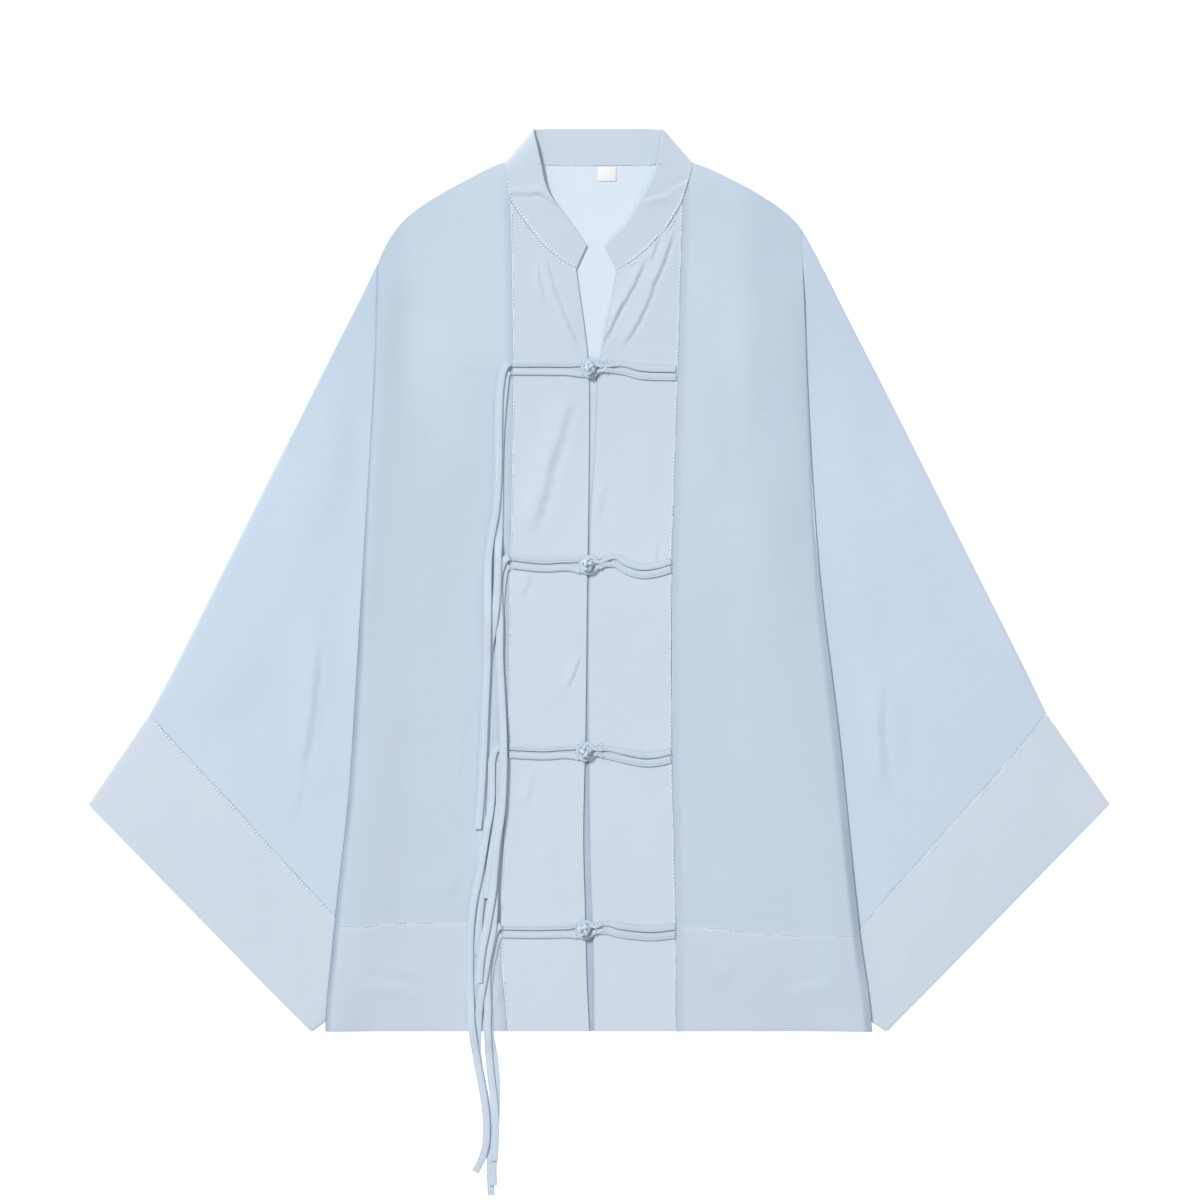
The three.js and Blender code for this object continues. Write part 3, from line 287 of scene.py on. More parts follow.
class Looks:
    """Small steps that change the colour a cloth's weave starts from, by place."""

    def __init__(self, material, weave):
        self.tree, self.weave = material.node_tree, weave
        place = new_node(self.tree, "ShaderNodeTexCoord").outputs["Object"]
        split = new_node(self.tree, "ShaderNodeSeparateXYZ", {"Vector": place}).outputs
        self.x, self.y = split["X"], split["Y"]

    def maths(self, operation, *values):
        node = new_node(self.tree, "ShaderNodeMath", dict(enumerate(values)), operation=operation)
        return node.outputs["Value"]

    def fade(self, value, start, end, first=0.0, last=1.0):
        """Runs from the first share to the last as the value goes from start to end."""
        node = new_node(self.tree, "ShaderNodeMapRange", {
            "Value": value, "From Min": start, "From Max": end, "To Min": first, "To Max": last,
        }, interpolation_type="SMOOTHSTEP")
        return node.outputs["Result"]

    def marked(self, mark):
        """Reads a mark that the mesh carries."""
        return new_node(self.tree, "ShaderNodeAttribute", attribute_name=mark).outputs["Fac"]

    def along(self, value, rows):
        """Reads a line through rows of (place, value), both in millimetres."""
        rows = sorted(rows)
        first, last = rows[0][0], rows[-1][0]
        lowest = min(row[1] for row in rows)
        span = max(row[1] for row in rows) - lowest
        share = new_node(self.tree, "ShaderNodeMapRange", {
            "From Min": first * MM, "From Max": last * MM, "Value": value,
        })
        line = new_node(self.tree, "ShaderNodeFloatCurve", {"Value": share.outputs["Result"]})
        curve = line.mapping.curves[0]
        while len(curve.points) < len(rows):
            curve.points.new(0.5, 0.5)
        for point, (place, read) in zip(curve.points, rows):
            point.location = ((place - first) / (last - first), (read - lowest) / span)
            point.handle_type = "VECTOR"
        line.mapping.update()
        return self.maths("MULTIPLY_ADD", line.outputs["Value"], span * MM, lowest * MM)

    def off_seam(self, seam):
        """How far across from a seam's plan line a place lies."""
        line = self.along(self.y, [(y, x) for x, y in seam])
        return self.maths("ABSOLUTE", self.maths("SUBTRACT", self.x, line))

    def inward(self, side):
        """How far in from the body's side edge a place lies."""
        edge = self.along(self.y, [(row[0], row[SIDE_COLUMN[side]]) for row in SIDE_TABLE])
        return self.maths("ADD" if side == "right" else "SUBTRACT", edge, self.x)

    def tint(self, mask, colour):
        """Mixes a colour in by the mask, over what the weave starts from so far."""
        start = self.weave.inputs["Colour"]
        before = start.links[0].from_socket if start.is_linked else start.default_value
        mix = new_node(self.tree, "ShaderNodeMix", {
            "A": before, "B": from_hex(colour), "Factor": mask,
        }, data_type="RGBA")
        self.tree.links.new(mix.outputs["Result"], start)


tie_cloth = cloth_material("tie_cloth", "D0DDEB", "C6D4E5", cloudy=0.5)[0]
SHARP_RIM = math.radians(50)
MERGE_GAP = 1e-6
# The section of a folded strip: rounded edges and a shallow groove where it is stitched. Columns:
# shares of the half width and of the half thickness
STRIP_OUTLINE = [
    (-1.0, 0.0), (-0.96, 0.6), (-0.84, 0.95), (-0.4, 1.0), (0.1, 0.98), (0.44, 0.92),
    (0.54, 0.5), (0.62, 0.5), (0.7, 0.9), (0.84, 0.98), (0.96, 0.6), (1.0, 0.0),
    (0.94, -0.7), (0.8, -1.0), (0.0, -1.0), (-0.8, -1.0), (-0.94, -0.7),
]


def strip_profile(width, thickness):
    data = bpy.data.curves.new("strip_profile", "CURVE")
    data.dimensions = "2D"
    line = data.splines.new("POLY")
    line.points.add(len(STRIP_OUTLINE) - 1)
    for point, (across, up) in zip(line.points, STRIP_OUTLINE):
        point.co = (across * (width / 2), up * (thickness / 2), 0, 1)
    line.use_cyclic_u = True
    return link_object("strip_profile", data)


def final_mesh(thing):
    """An object's mesh with its bevel and its modifiers applied."""
    bpy.context.view_layer.update()
    depsgraph = bpy.context.evaluated_depsgraph_get()
    return bpy.data.meshes.new_from_object(thing.evaluated_get(depsgraph))


def add_piece(name, mesh, material):
    piece = link_object(name, mesh)
    mesh.materials.clear()
    mesh.materials.append(material)
    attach(piece, "root")
    return piece


def folded_strip(name, points, width, thickness, material, narrow=None):
    """A flat strip swept along a smooth route. Returns the piece and the points of its route."""
    data = bpy.data.curves.new(name, "CURVE")
    data.dimensions = "3D"
    data.resolution_u = 6
    data.twist_mode = "Z_UP"
    line = data.splines.new("BEZIER")
    line.bezier_points.add(len(points) - 1)
    for i, (spot, place) in enumerate(zip(line.bezier_points, points)):
        spot.co = place
        spot.handle_left_type = spot.handle_right_type = "AUTO"
        spot.radius = narrow[i] if narrow else 1
    guide = link_object(name + "_guide", data)
    route = [vertex.co.copy() for vertex in final_mesh(guide).vertices]
    profile = strip_profile(width, thickness)
    data.bevel_mode = "OBJECT"
    data.bevel_object = profile
    data.use_fill_caps = True
    mesh = final_mesh(guide)
    bpy.data.objects.remove(guide)
    bpy.data.objects.remove(profile)
    tidy_mesh(mesh)
    return add_piece(name, mesh, material), route


def tidy_mesh(mesh):
    """Merges doubles, turns the faces outwards and shades them smooth but for sharp rims."""
    shape = bmesh.new()
    shape.from_mesh(mesh)
    bmesh.ops.remove_doubles(shape, verts=shape.verts, dist=MERGE_GAP)
    bmesh.ops.recalc_face_normals(shape, faces=shape.faces)
    for face in shape.faces:
        face.smooth = True
    for edge in shape.edges:
        edge.smooth = edge.calc_face_angle(0) < SHARP_RIM
    shape.to_mesh(mesh)
    shape.free()


for tie_name, tie_rows in TIE_ROUTES.items():
    tie_points = [(x, y, tie_height(x, y, beneath)) for x, y, beneath in tie_rows]
    tie, tie_route = folded_strip(
        tie_name + "_strip", tie_points, TIE_WIDTH, TIE_THICKNESS, tie_cloth
    )
    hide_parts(tie_name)


# Cloth panels: each is cut once and lies on the one below. The shell of a panel starts from a copy
# of its solid, is rounded at the rims, and takes its creases as soft ridges and troughs.
SINGLE_RIM = 0.85
DOUBLED_RIM = 0.8
SOLID_MERGE_GAP = 2e-5
FLAT_ANGLE = math.radians(35)
ANY_SHAPE = math.radians(180)
RIM_ANGLE = math.radians(48)
SHORT_EDGE = 0.5 * MM
CORNER_SINE = 0.4


def mesh_of(shape, name):
    mesh = bpy.data.meshes.new(name)
    shape.to_mesh(mesh)
    shape.free()
    return mesh


def cloth_shell(node, levels, rim=SINGLE_RIM):
    """A smooth copy of a solid's mesh: joined to quads, rims and corners kept, subdivided."""
    shape = bmesh.new()
    shape.from_mesh(solids[node].data)
    bmesh.ops.remove_doubles(shape, verts=shape.verts, dist=SOLID_MERGE_GAP)
    bmesh.ops.join_triangles(
        shape, faces=shape.faces, angle_face_threshold=FLAT_ANGLE, angle_shape_threshold=ANY_SHAPE,
    )
    crease = shape.edges.layers.float.new("crease_edge")
    for edge in shape.edges:
        if edge.calc_face_angle(0) > RIM_ANGLE:
            edge[crease] = rim
    corner = shape.verts.layers.float.new("crease_vert")
    for vertex in shape.verts:
        rims = [edge for edge in vertex.link_edges if edge[crease] > 0]
        ways = [(edge.other_vert(vertex).co - vertex.co).xy for edge in rims]
        ways = [way.normalized() for way in ways if way.length > SHORT_EDGE]
        if any(abs(a.cross(b)) > CORNER_SINE for a in ways for b in ways):
            vertex[corner] = 1
    carrier = link_object(node + "_carrier", mesh_of(shape, node + "_shell"))
    smooth = carrier.modifiers.new("subdivision", "SUBSURF")
    smooth.levels = smooth.render_levels = levels
    shell = final_mesh(carrier)
    bpy.data.objects.remove(carrier)
    for name in ("crease_edge", "crease_vert"):
        if name in shell.attributes:
            shell.attributes.remove(shell.attributes[name])
    return shell


def mesh_points(mesh):
    flat = np.zeros(len(mesh.vertices) * 3, np.float32)
    mesh.vertices.foreach_get("co", flat)
    return flat.reshape(-1, 3).astype(float)


def upper_side(mesh):
    """1 where the shell faces up, 0 on its rims and below."""
    flat = np.zeros(len(mesh.vertices) * 3, np.float32)
    mesh.vertices.foreach_get("normal", flat)
    return np.clip(flat.reshape(-1, 3)[:, 2] * 4, 0, 1)


def set_points(mesh, points):
    mesh.vertices.foreach_set("co", points.astype(np.float32).ravel())
    mesh.update()
    tidy_mesh(mesh)


# Columns: the share of a crease's width by which its line wanders, and the length of the wander
CREASE_WANDER = ((0.12, 2.3), (0.08, 5.1))
CREASE_ENDS = 3.2
DIP_SHARE = 0.4
DIP_OUT = 1.9


def crease_lift(points, creases):
    """The lift of all the creases at each point. Columns of a crease, in millimetres: start, end,
    bow to the left of the way it runs, height (below 0 a trough), half width, and how many times
    wider its right flank is. On its left a ridge stands over a shallow dip."""
    plan = points[:, :2] / MM
    lift = np.zeros(len(plan))
    for start, end, bow, height, width, flank in creases:
        run = np.subtract(end, start)
        length = np.hypot(*run)
        along = (plan - start) @ run / length**2
        left = (plan - start) @ np.array((-run[1], run[0])) / length
        left -= bow * np.sin(np.pi * np.clip(along, 0, 1))
        for (share, wander), phase in zip(CREASE_WANDER, start):
            left += share * width * np.sin(along * length / wander + phase)
        reach = np.clip(np.minimum(along, 1 - along) * CREASE_ENDS, 0, 1)
        fade = reach * reach * (3 - 2 * reach)
        lift += height * fade * np.exp(-(left / np.where(left < 0, width * flank, width)) ** 2)
        if height > 0:
            dip = np.exp(-((left - DIP_OUT * width) / width) ** 2)
            lift -= DIP_SHARE * height * fade * dip
    return lift * MM


SEAM_LEFT = 0.06 * MM


def close_seam(points, line, most=0.6, reach=4):
    """Draws the cloth within the reach of a seam's plan line up to it, all in millimetres."""
    rows = np.array(line) * MM
    plan = points[:, :2]
    nearest = np.full(len(plan), np.inf)
    way = np.zeros((len(plan), 2))
    for start, end in zip(rows, rows[1:]):
        run = end - start
        share = np.clip((plan - start) @ run / (run @ run), 0, 1)
        step = start + share[:, None] * run - plan
        far = np.hypot(step[:, 0], step[:, 1])
        nearer = far < nearest
        nearest[nearer] = far[nearer]
        way[nearer] = step[nearer]
    near = np.clip(1 - nearest / (reach * MM), 0, 1)
    pull = np.clip(nearest - SEAM_LEFT, 0, most * MM) * near
    points[:, :2] += way * (pull / np.maximum(nearest, 1e-9))[:, None]


# The body's side edges, in millimetres. Columns: y, then how far out the edge lies on the right and
# on the left
SIDE_COLUMN = {"right": 1, "left": 2}
SIDE_TABLE = [
    (-397.5, 241, 240.6), (-370, 239.6, 238.4), (-335, 235.8, 232.4), (-282, 230.6, 226.2),
    (-194, 220.4, 217.4), (-106, 214.7, 207.7), (-18, 209.4, 196.2), (70, 204.2, 188.8),
    (158, 198.9, 183.9), (246, 195.4, 180.4), (279.7, 194.8, 179), (309, 194.8, 178.1),
]

# Seams in plan, in millimetres: between each band and its front, and between the collar and what
# it is sewn to
BAND_SEAMS = {
    "right": [
        (-80.4, -397.5), (-85.9, -340), (-86.1, -280), (-80.4, -150), (-79, 4), (-77.7, 44),
        (-75.5, 184), (-76.5, 250), (-77.3, 300), (-77.6, 330),
    ],
    "left": [
        (68.1, -397.5), (68.1, -308), (64.2, -150), (64.2, 17), (69.8, 184), (71.5, 250),
        (72.9, 300), (73.9, 330),
    ],
}
COLLAR_SEAMS = {
    "right": [
        (-20, 273.5), (-36.3, 283.4), (-51.3, 296.6), (-64.5, 314.2), (-76.9, 331.8), (-81.5, 349),
        (-82.2, 361), (-82.8, 367.4),
    ],
    "left": [
        (15.2, 272.1), (30, 280.7), (43.7, 292.2), (60.2, 309.8), (73.3, 331.8), (78.3, 349),
        (81.5, 361), (82.4, 367.4),
    ],
}
BACK_NECK_SEAM = [
    (-78, 366.3), (-63, 365.2), (-36, 364.6), (0, 364.35), (36, 364.6), (63, 365.2), (78, 366.3),
]


def inward_from_side(points, side):
    """How far in from the body's side edge each point lies, in metres."""
    rows = np.array(SIDE_TABLE) * MM
    edge = np.interp(points[:, 1], rows[:, 0], rows[:, SIDE_COLUMN[side]])
    return edge - np.abs(points[:, 0])


def lay_cloth(name, mesh, material, node):
    """Adds a cut piece of cloth that lies flat, in its solid's place, and hides the solid."""
    piece = add_piece(name, mesh, material)
    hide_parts(node)
    return piece


# The back: one panel of single cloth under everything else. Only its inside shows, in the neck and
# in the slit between the front bands; its colour is painted paler for the light that a single layer
# lets through, with painted shade below the neck, in the slit and along its side rims.
back_cloth, back_weave = cloth_material("back_cloth", "DEEAF6", "D6E4F2", cloudy=0.4)
SHADE_BELOW_NECK = (0.205, 0.18)
SHADE_IN_SLIT = (0.06, -0.04)
SHADE_ALONG_SIDE_RIM = (0.004, 0.0015)
back_looks = Looks(back_cloth, back_weave)
# Painted shade: the inside is darker below the neck, and darker still in the slit and along the side
# rims, where the fronts shade it.
back_looks.tint(back_looks.fade(back_looks.y, *SHADE_BELOW_NECK), "C9D8E8")
back_looks.tint(back_looks.fade(back_looks.y, *SHADE_IN_SLIT), "B0BED0")
back_looks.tint(back_looks.fade(back_looks.inward("right"), *SHADE_ALONG_SIDE_RIM), "A6B5C8")
BACK_CREASES = [
    ((-20, 340), (8, 300), 4, 0.5, 12, 1.6),
    ((30, 330), (18, 270), -3, 0.4, 10, 1.5),
    ((-90, -60), (-110, -240), 10, 0.25, 22, 1.5),
]
BACK_LIFT_MOST = 0.15 * MM
back_mesh = cloth_shell("back", 2)
back_points = mesh_points(back_mesh)
back_points[:, 2] += np.clip(crease_lift(back_points, BACK_CREASES), 0, BACK_LIFT_MOST)
close_seam(back_points, BACK_NECK_SEAM, most=2, reach=9)
set_points(back_mesh, back_points)
back = lay_cloth("back_panel", back_mesh, back_cloth, "back")


# The fronts: single cloth from the shoulder to the hem, turned up deep at the hem, with rounded
# side edges where they roll down over the sleeves.
HEM_FACING = {
    "right": [(-240, -305), (-205, -306.5), (-186, -303.5), (-170, -303), (-128, -303), (-70, -304)],
    "left": [(60, -306), (104, -308), (133, -312), (171, -314.5), (240, -314.5)],
}
FRONT_CREASES = {
    "right": [
        ((-222, 20), (-228, -190), 6, 0.5, 9, 2.2),
        ((-205, -20), (-212, -240), -8, -0.5, 10, 1.5),
        ((-150, 250), (-120, 60), 12, 0.9, 20, 1.6),
        ((-170, 120), (-160, -80), 10, 0.8, 22, 1.3),
        ((-128, 20), (-134, -190), -8, -0.6, 16, 1.4),
        ((-214, -354), (-158, -367), 3, 0.9, 3.6, 2.2),
        ((-196, -334), (-148, -345), -3, 0.5, 3.4, 2.0),
        ((-110, -352), (-92, -366), 2, 0.5, 5, 1.4),
        ((-112, -130), (-104, -290), 3, 0.6, 9, 1.4),
        ((-116, -117), (-122, -147), 1, 0.35, 1.3, 2.5),
        ((-119, -150), (-124, -180), -1, 0.4, 1.4, 2.5),
        ((-126, -250), (-140, -282), 3, 0.4, 5, 1.6),
        ((-85, -364), (-97, -380), 1, 0.7, 1.5, 3.2),
        ((-100, -362), (-89.5, -394), 1, 0.6, 1.5, 3.0),
    ],
    "left": [
        ((196, 40), (218, -200), -7, 0.5, 9, 2.2),
        ((178, -10), (196, -230), 6, -0.5, 10, 1.5),
        ((140, 250), (120, 40), -10, 0.8, 20, 1.6),
        ((150, 110), (158, -90), -9, 0.8, 22, 1.3),
        ((104, 0), (112, -190), 8, -0.6, 16, 1.4),
        ((158, -362), (214, -348), -4, 0.8, 3.8, 2.2),
        ((120, -340), (92, -352), 3, 0.5, 6, 1.5),
        ((90, 200), (100, 60), 4, 0.6, 10, 1.5),
    ],
}
SIDE_ROLL = 2.6 * MM
SIDE_ROLL_WIDTH = 4.5 * MM
SIDE_ROLL_POWER = 1.5
ROLL_TOP = 0.27
ROLL_START = 0.1
ROLL_SHARES = (0.55, 0.3)
FACING_RISE = 0.35 * MM
FACING_SLOPE = 1.5 * MM
# Where the tones of the cloth and its painted light and shade change, in metres: from, to, and the
# shares there
PALE_SHOULDER = (-0.05, 0.28)
FACING_BELOW = (0.0, 0.0008)
FACING_LINE_LIGHT = (0.0016, 0.0006, 0.0, 0.6)
BAND_SHADE = (0.009, 0.001, 0.0, 0.8)
SIDE_SHADE_FADE = (-0.25, 0.13, 0.15, 0.75)
ROLL_SHADE_FADE = (0.30, -0.02)
ROLL_SHADE_WIDENS = (0.16, -0.12)
ROLL_SHADE_REACH_ABOVE = 0.0024
# Columns: how far in the side's painted shade starts and is full, how far in the rolled edge's
# painted shade reaches at the hem, the share of that where it is full, that shade's colour, and its
# share at the top
SIDE_SHADES = {
    "right": (0.036, 0.012, 0.0070, 0.1, "9FAEC4", 0.5),
    "left": (0.065, 0.030, 0.0090, 0.45, "9FAFC1", 0.0),
}


def front_material(side):
    """The front's cloth: paler where the hem is turned up, with painted light along the hem's line,
    painted shade beside the band seam, and painted shade along its side edge, where it rolls down
    over the sleeve."""
    material, weave = cloth_material(f"{side}_front_cloth", "CAD7E6", "C5D2E3")
    looks = Looks(material, weave)
    looks.tint(looks.fade(looks.y, *PALE_SHOULDER), "CADBE9")
    below = looks.maths("SUBTRACT", looks.along(looks.x, HEM_FACING[side]), looks.y)
    looks.tint(looks.fade(below, *FACING_BELOW), "CEDAE8")
    # Painted light: a pale line along the turned-up hem's step.
    looks.tint(looks.fade(looks.maths("ABSOLUTE", below), *FACING_LINE_LIGHT), "DCE7F2")
    looks.tint(looks.fade(looks.off_seam(BAND_SEAMS[side]), *BAND_SHADE), "B8C7D8")
    shade_from, shade_full, roll_reach, full_share, roll_shade, top_share = SIDE_SHADES[side]
    # Painted shade along the side edge, where it rolls down over the sleeve: a broad deeper tone, and
    # a darker one on the rolled rim, weaker towards the top.
    inward = looks.inward(side)
    near_side = looks.fade(inward, shade_from, shade_full)
    deep = looks.fade(looks.y, *SIDE_SHADE_FADE)
    looks.tint(looks.maths("MULTIPLY", near_side, deep), "BBCBDB")
    reach = looks.fade(looks.y, *ROLL_SHADE_WIDENS, ROLL_SHADE_REACH_ABOVE, roll_reach)
    rolled = looks.fade(inward, reach, looks.maths("MULTIPLY", reach, full_share))
    lower = looks.fade(looks.y, *ROLL_SHADE_FADE, top_share, 1.0)
    looks.tint(looks.maths("MULTIPLY", rolled, lower), roll_shade)
    return material


def facing_step(points, side):
    """The turned-up hem makes the front a little thicker below its line."""
    rows = np.array(sorted(HEM_FACING[side])) * MM
    line = np.interp(points[:, 0], rows[:, 0], rows[:, 1])
    return FACING_RISE * np.clip((line - points[:, 1]) / FACING_SLOPE, 0, 1)


for side in ("right", "left"):
    front_mesh = cloth_shell(f"{side}_front", 3)
    front_points = mesh_points(front_mesh)
    top = upper_side(front_mesh)
    lift = crease_lift(front_points, FRONT_CREASES[side]) + facing_step(front_points, side)
    near_side = np.clip(inward_from_side(front_points, side), 0, None)
    roll = SIDE_ROLL * np.exp(-(near_side / SIDE_ROLL_WIDTH) ** SIDE_ROLL_POWER)
    roll *= np.clip((ROLL_TOP - front_points[:, 1]) / ROLL_START, 0, 1)
    rim_lift = np.clip(lift, 0, None) - ROLL_SHARES[1] * roll
    front_points[:, 2] += top * (lift - ROLL_SHARES[0] * roll) + (1 - top) * rim_lift
    close_seam(front_points, BAND_SEAMS[side])
    for _ in range(2):
        close_seam(front_points, COLLAR_SEAMS[side], most=2, reach=8)
    set_points(front_mesh, front_points)
    lay_cloth(f"{side}_front_panel", front_mesh, front_material(side),
              f"{side}_front")


# The sleeves: wide tubes of single cloth that lie flat, with the fold of each along its top edge.
# Their inner folds are tucked under the body.
SLEEVE_CREASES = {
    "right": [
        ((-230, 190), (-262, 20), 8, 0.8, 14, 1.5),
        ((-250, 80), (-330, -70), 10, 0.8, 22, 1.5),
        ((-247, -46), (-265, -184), 3, 1.3, 2.4, 4.5),
        ((-245, -96), (-254, -150), 2, 0.4, 2.4, 4.0),
        ((-259, -170), (-269, -214), -2, 0.5, 2.6, 3.6),
        ((-300, -40), (-352, -130), 6, 0.9, 18, 1.4),
        ((-240, 20), (-252, -120), -6, 0.6, 12, 1.4),
        ((-300, 60), (-350, -40), -5, 0.5, 16, 1.4),
    ],
    "left": [
        ((214, 190), (250, 20), -8, 0.8, 14, 1.5),
        ((240, 90), (320, -70), -10, 0.8, 22, 1.5),
        ((247, -84), (252, -196), -4, 1.3, 4, 3.0),
        ((268, -100), (272, -190), 4, -0.6, 10, 1.3),
        ((300, -30), (352, -130), -6, 0.9, 18, 1.4),
        ((222, 30), (240, -110), 6, 0.6, 12, 1.4),
    ],
}
SEAM_LINES = {
    "right": [
        (-396, -118.1), (-382.8, -133.1), (-361.7, -155.9), (-320.3, -199.9), (-288.6, -235.6),
        (-257.8, -268.6), (-231.9, -296.7), (-221.5, -307.5),
    ],
    "left": [
        (393.8, -117.2), (377, -138.4), (358.2, -163), (329.1, -193.8), (283.8, -245.7),
        (257, -274.7), (234.1, -302.9), (223.5, -314.3),
    ],
}

ARMHOLE_SEAM_FROM = 150
PALE_BELOW = (0.05, 0.26, 0.0, 0.7)
SLEEVE_FLOOR = 1.2 * MM
UNDER_BODY = 0.001
CLEAR_OF_BODY = 0.012
LAYER_STEP = 0.3 * MM


def tube_shell(node, side, creases, floor, seams):
    """The shell of a flattened tube. Creases lift its upper layer, above the floor, clear of the
    body's edge, and leave the lower one as it is."""
    mesh = cloth_shell(node, 3)
    points = mesh_points(mesh)
    clear = np.clip((-inward_from_side(points, side) - UNDER_BODY) / CLEAR_OF_BODY, 0, 1)
    upper = np.clip((points[:, 2] - floor) / LAYER_STEP, 0, 1)
    points[:, 2] += upper * (crease_lift(points, creases) * clear)
    for seam in seams:
        close_seam(points, seam)
    set_points(mesh, points)
    return mesh


for side, outward, turn in (("right", -1, 0.46), ("left", 1, -0.46)):
    armhole = [
        (outward * row[SIDE_COLUMN[side]], row[0]) for row in SIDE_TABLE if row[0] > ARMHOLE_SEAM_FROM
    ]
    sleeve_mesh = tube_shell(
        f"{side}_sleeve", side, SLEEVE_CREASES[side], SLEEVE_FLOOR, (SEAM_LINES[side], armhole)
    )
    sleeve_cloth, sleeve_weave = cloth_material(f"{side}_sleeve_cloth", "CDDDED", "C7D7EA", turn=turn)
    sleeve_looks = Looks(sleeve_cloth, sleeve_weave)
    sleeve_looks.tint(sleeve_looks.fade(sleeve_looks.y, *PALE_BELOW), "C1D1E3")
    lay_cloth(f"{side}_sleeve_tube", sleeve_mesh, sleeve_cloth,
              f"{side}_sleeve")


# The cuffs: deep bands of doubled cloth, sewn to the sleeves' ends and turned in at the open end.
# The doubled cloth is paler and stiffer than the sleeve.
CUFF_CREASES = {
    "right": [
        ((-320, -220), (-300, -330), 4, 0.5, 12, 1.4),
        ((-370, -180), (-400, -225), 3, 0.4, 10, 1.3),
        ((-270, -290), (-262, -372), -3, 0.4, 8, 1.3),
    ],
    "left": [
        ((318, -220), (304, -325), -4, 0.5, 12, 1.4),
        ((372, -185), (398, -232), -3, 0.4, 10, 1.3),
        ((272, -300), (262, -372), 3, 0.4, 8, 1.3),
    ],
}
CUFF_FLOOR = 1.5 * MM
for side, turn in (("right", 0.8), ("left", -0.8)):
    cuff_mesh = tube_shell(
        f"{side}_cuff", side, CUFF_CREASES[side], CUFF_FLOOR, (SEAM_LINES[side],)
    )
    cuff_cloth = cloth_material(f"{side}_cuff_cloth", "D3DEEA", "CEDAE6", turn=turn)[0]
    lay_cloth(f"{side}_cuff_band", cuff_mesh, cuff_cloth, f"{side}_cuff")


# The front bands: two long strips of doubled cloth that meet at the middle and carry the
# fastenings. They pull into sharp creases below the collar's ends.
BAND_CREASES = {
    "right": [
        ((-51, 290), (-38, 244), 1, 0.7, 1.6, 3.0),
        ((-43, 262), (-14, 194), -1, 1.0, 1.6, 3.4),
        ((-56, 280), (-47, 240), -1, 0.7, 1.5, 2.8),
        ((-26, 166), (-48, 92), 1, 1.2, 4.4, 2.6),
        ((-41, 122), (-64, 36), 2, 1.35, 4.8, 2.6),
        ((-63, 8), (-71, -18), 1, 0.6, 3, 2.4),
        ((-17, -64), (-31, -98), 1.5, 0.8, 1.6, 3.2),
        ((-60, -166), (-66, -200), 1, 0.5, 3, 2.0),
        ((-60, -60), (-40, -130), 4, 0.3, 10, 1.4),
        ((-52, -230), (-34, -286), -2, 0.35, 7, 1.5),
        ((-76, -352), (-60, -366), 2, 0.4, 4, 1.5),
    ],
    "left": [
        ((42, 288), (10, 226), 2, 1.3, 1.7, 3.6),
        ((22, 250), (0, 204), 1, 1.2, 1.6, 3.4),
        ((66, 312), (40, 246), 2, 1.3, 1.8, 3.4),
        ((50, 266), (16, 200), 3, 1.2, 1.8, 3.6),
        ((53, 304), (43, 279), 0.5, 0.8, 1.5, 2.6),
        ((6, 90), (-3, 50), -1, 0.5, 3, 2.4),
        ((50, 38), (46, 6), 1, 0.4, 2.2, 2.4),
        ((46, 140), (30, 40), 4, 0.3, 9, 1.5),
        ((50, -40), (36, -120), -3, 0.3, 9, 1.4),
        ((52, -190), (40, -270), 3, 0.3, 9, 1.4),
        ((10, -330), (24, -380), 2, 0.3, 6, 1.4),
    ],
}
RIM_WIDTH = 1.3 * MM
RIM_ROW = 4 * MM
DULL_TOP = (0.04, 0.22)
SEAM_EDGE = (0.0022, 0.0011, 0.0, 0.7)


def mark_inner_rim(mesh):
    """Marks the points along the band's inner edge, where its fold is in shade, for painted shade."""
    points = mesh_points(mesh)
    rows = np.round(points[:, 1] / RIM_ROW).astype(int)
    rows -= rows.min()
    edge = np.full(rows.max() + 1, np.inf)
    np.minimum.at(edge, rows, points[:, 0])
    share = 1 - (points[:, 0] - edge[rows]) / RIM_WIDTH
    rim = mesh.attributes.new("inner_rim_shade", "FLOAT", "POINT")
    rim.data.foreach_set("value", np.clip(share, 0, 1).astype(np.float32))


for side in ("right", "left"):
    band_mesh = cloth_shell(f"{side}_front_band", 4, DOUBLED_RIM)
    band_points = mesh_points(band_mesh)
    top = upper_side(band_mesh)
    lift = crease_lift(band_points, BAND_CREASES[side])
    band_points[:, 2] += top * lift + (1 - top) * np.clip(lift, 0, None)
    close_seam(band_points, BAND_SEAMS[side])
    close_seam(band_points, COLLAR_SEAMS[side])
    set_points(band_mesh, band_points)
    band_cloth, band_weave = cloth_material(f"{side}_band_cloth", "D3DEEB", "CEDAE8", cloudy=0.6)
    band_looks = Looks(band_cloth, band_weave)
    band_looks.tint(band_looks.fade(band_looks.y, *DULL_TOP), "CCD8E6")
    band_looks.tint(band_looks.fade(band_looks.off_seam(BAND_SEAMS[side]), *SEAM_EDGE), "DCEAF9")
    if side == "left":
        mark_inner_rim(band_mesh)
        # Painted shade: a dark line along the left band's inner edge, beside the slit.
        band_looks.tint(band_looks.marked("inner_rim_shade"), "A4B3C7")
    lay_cloth(f"{side}_band_strip", band_mesh, band_cloth, f"{side}_front_band")


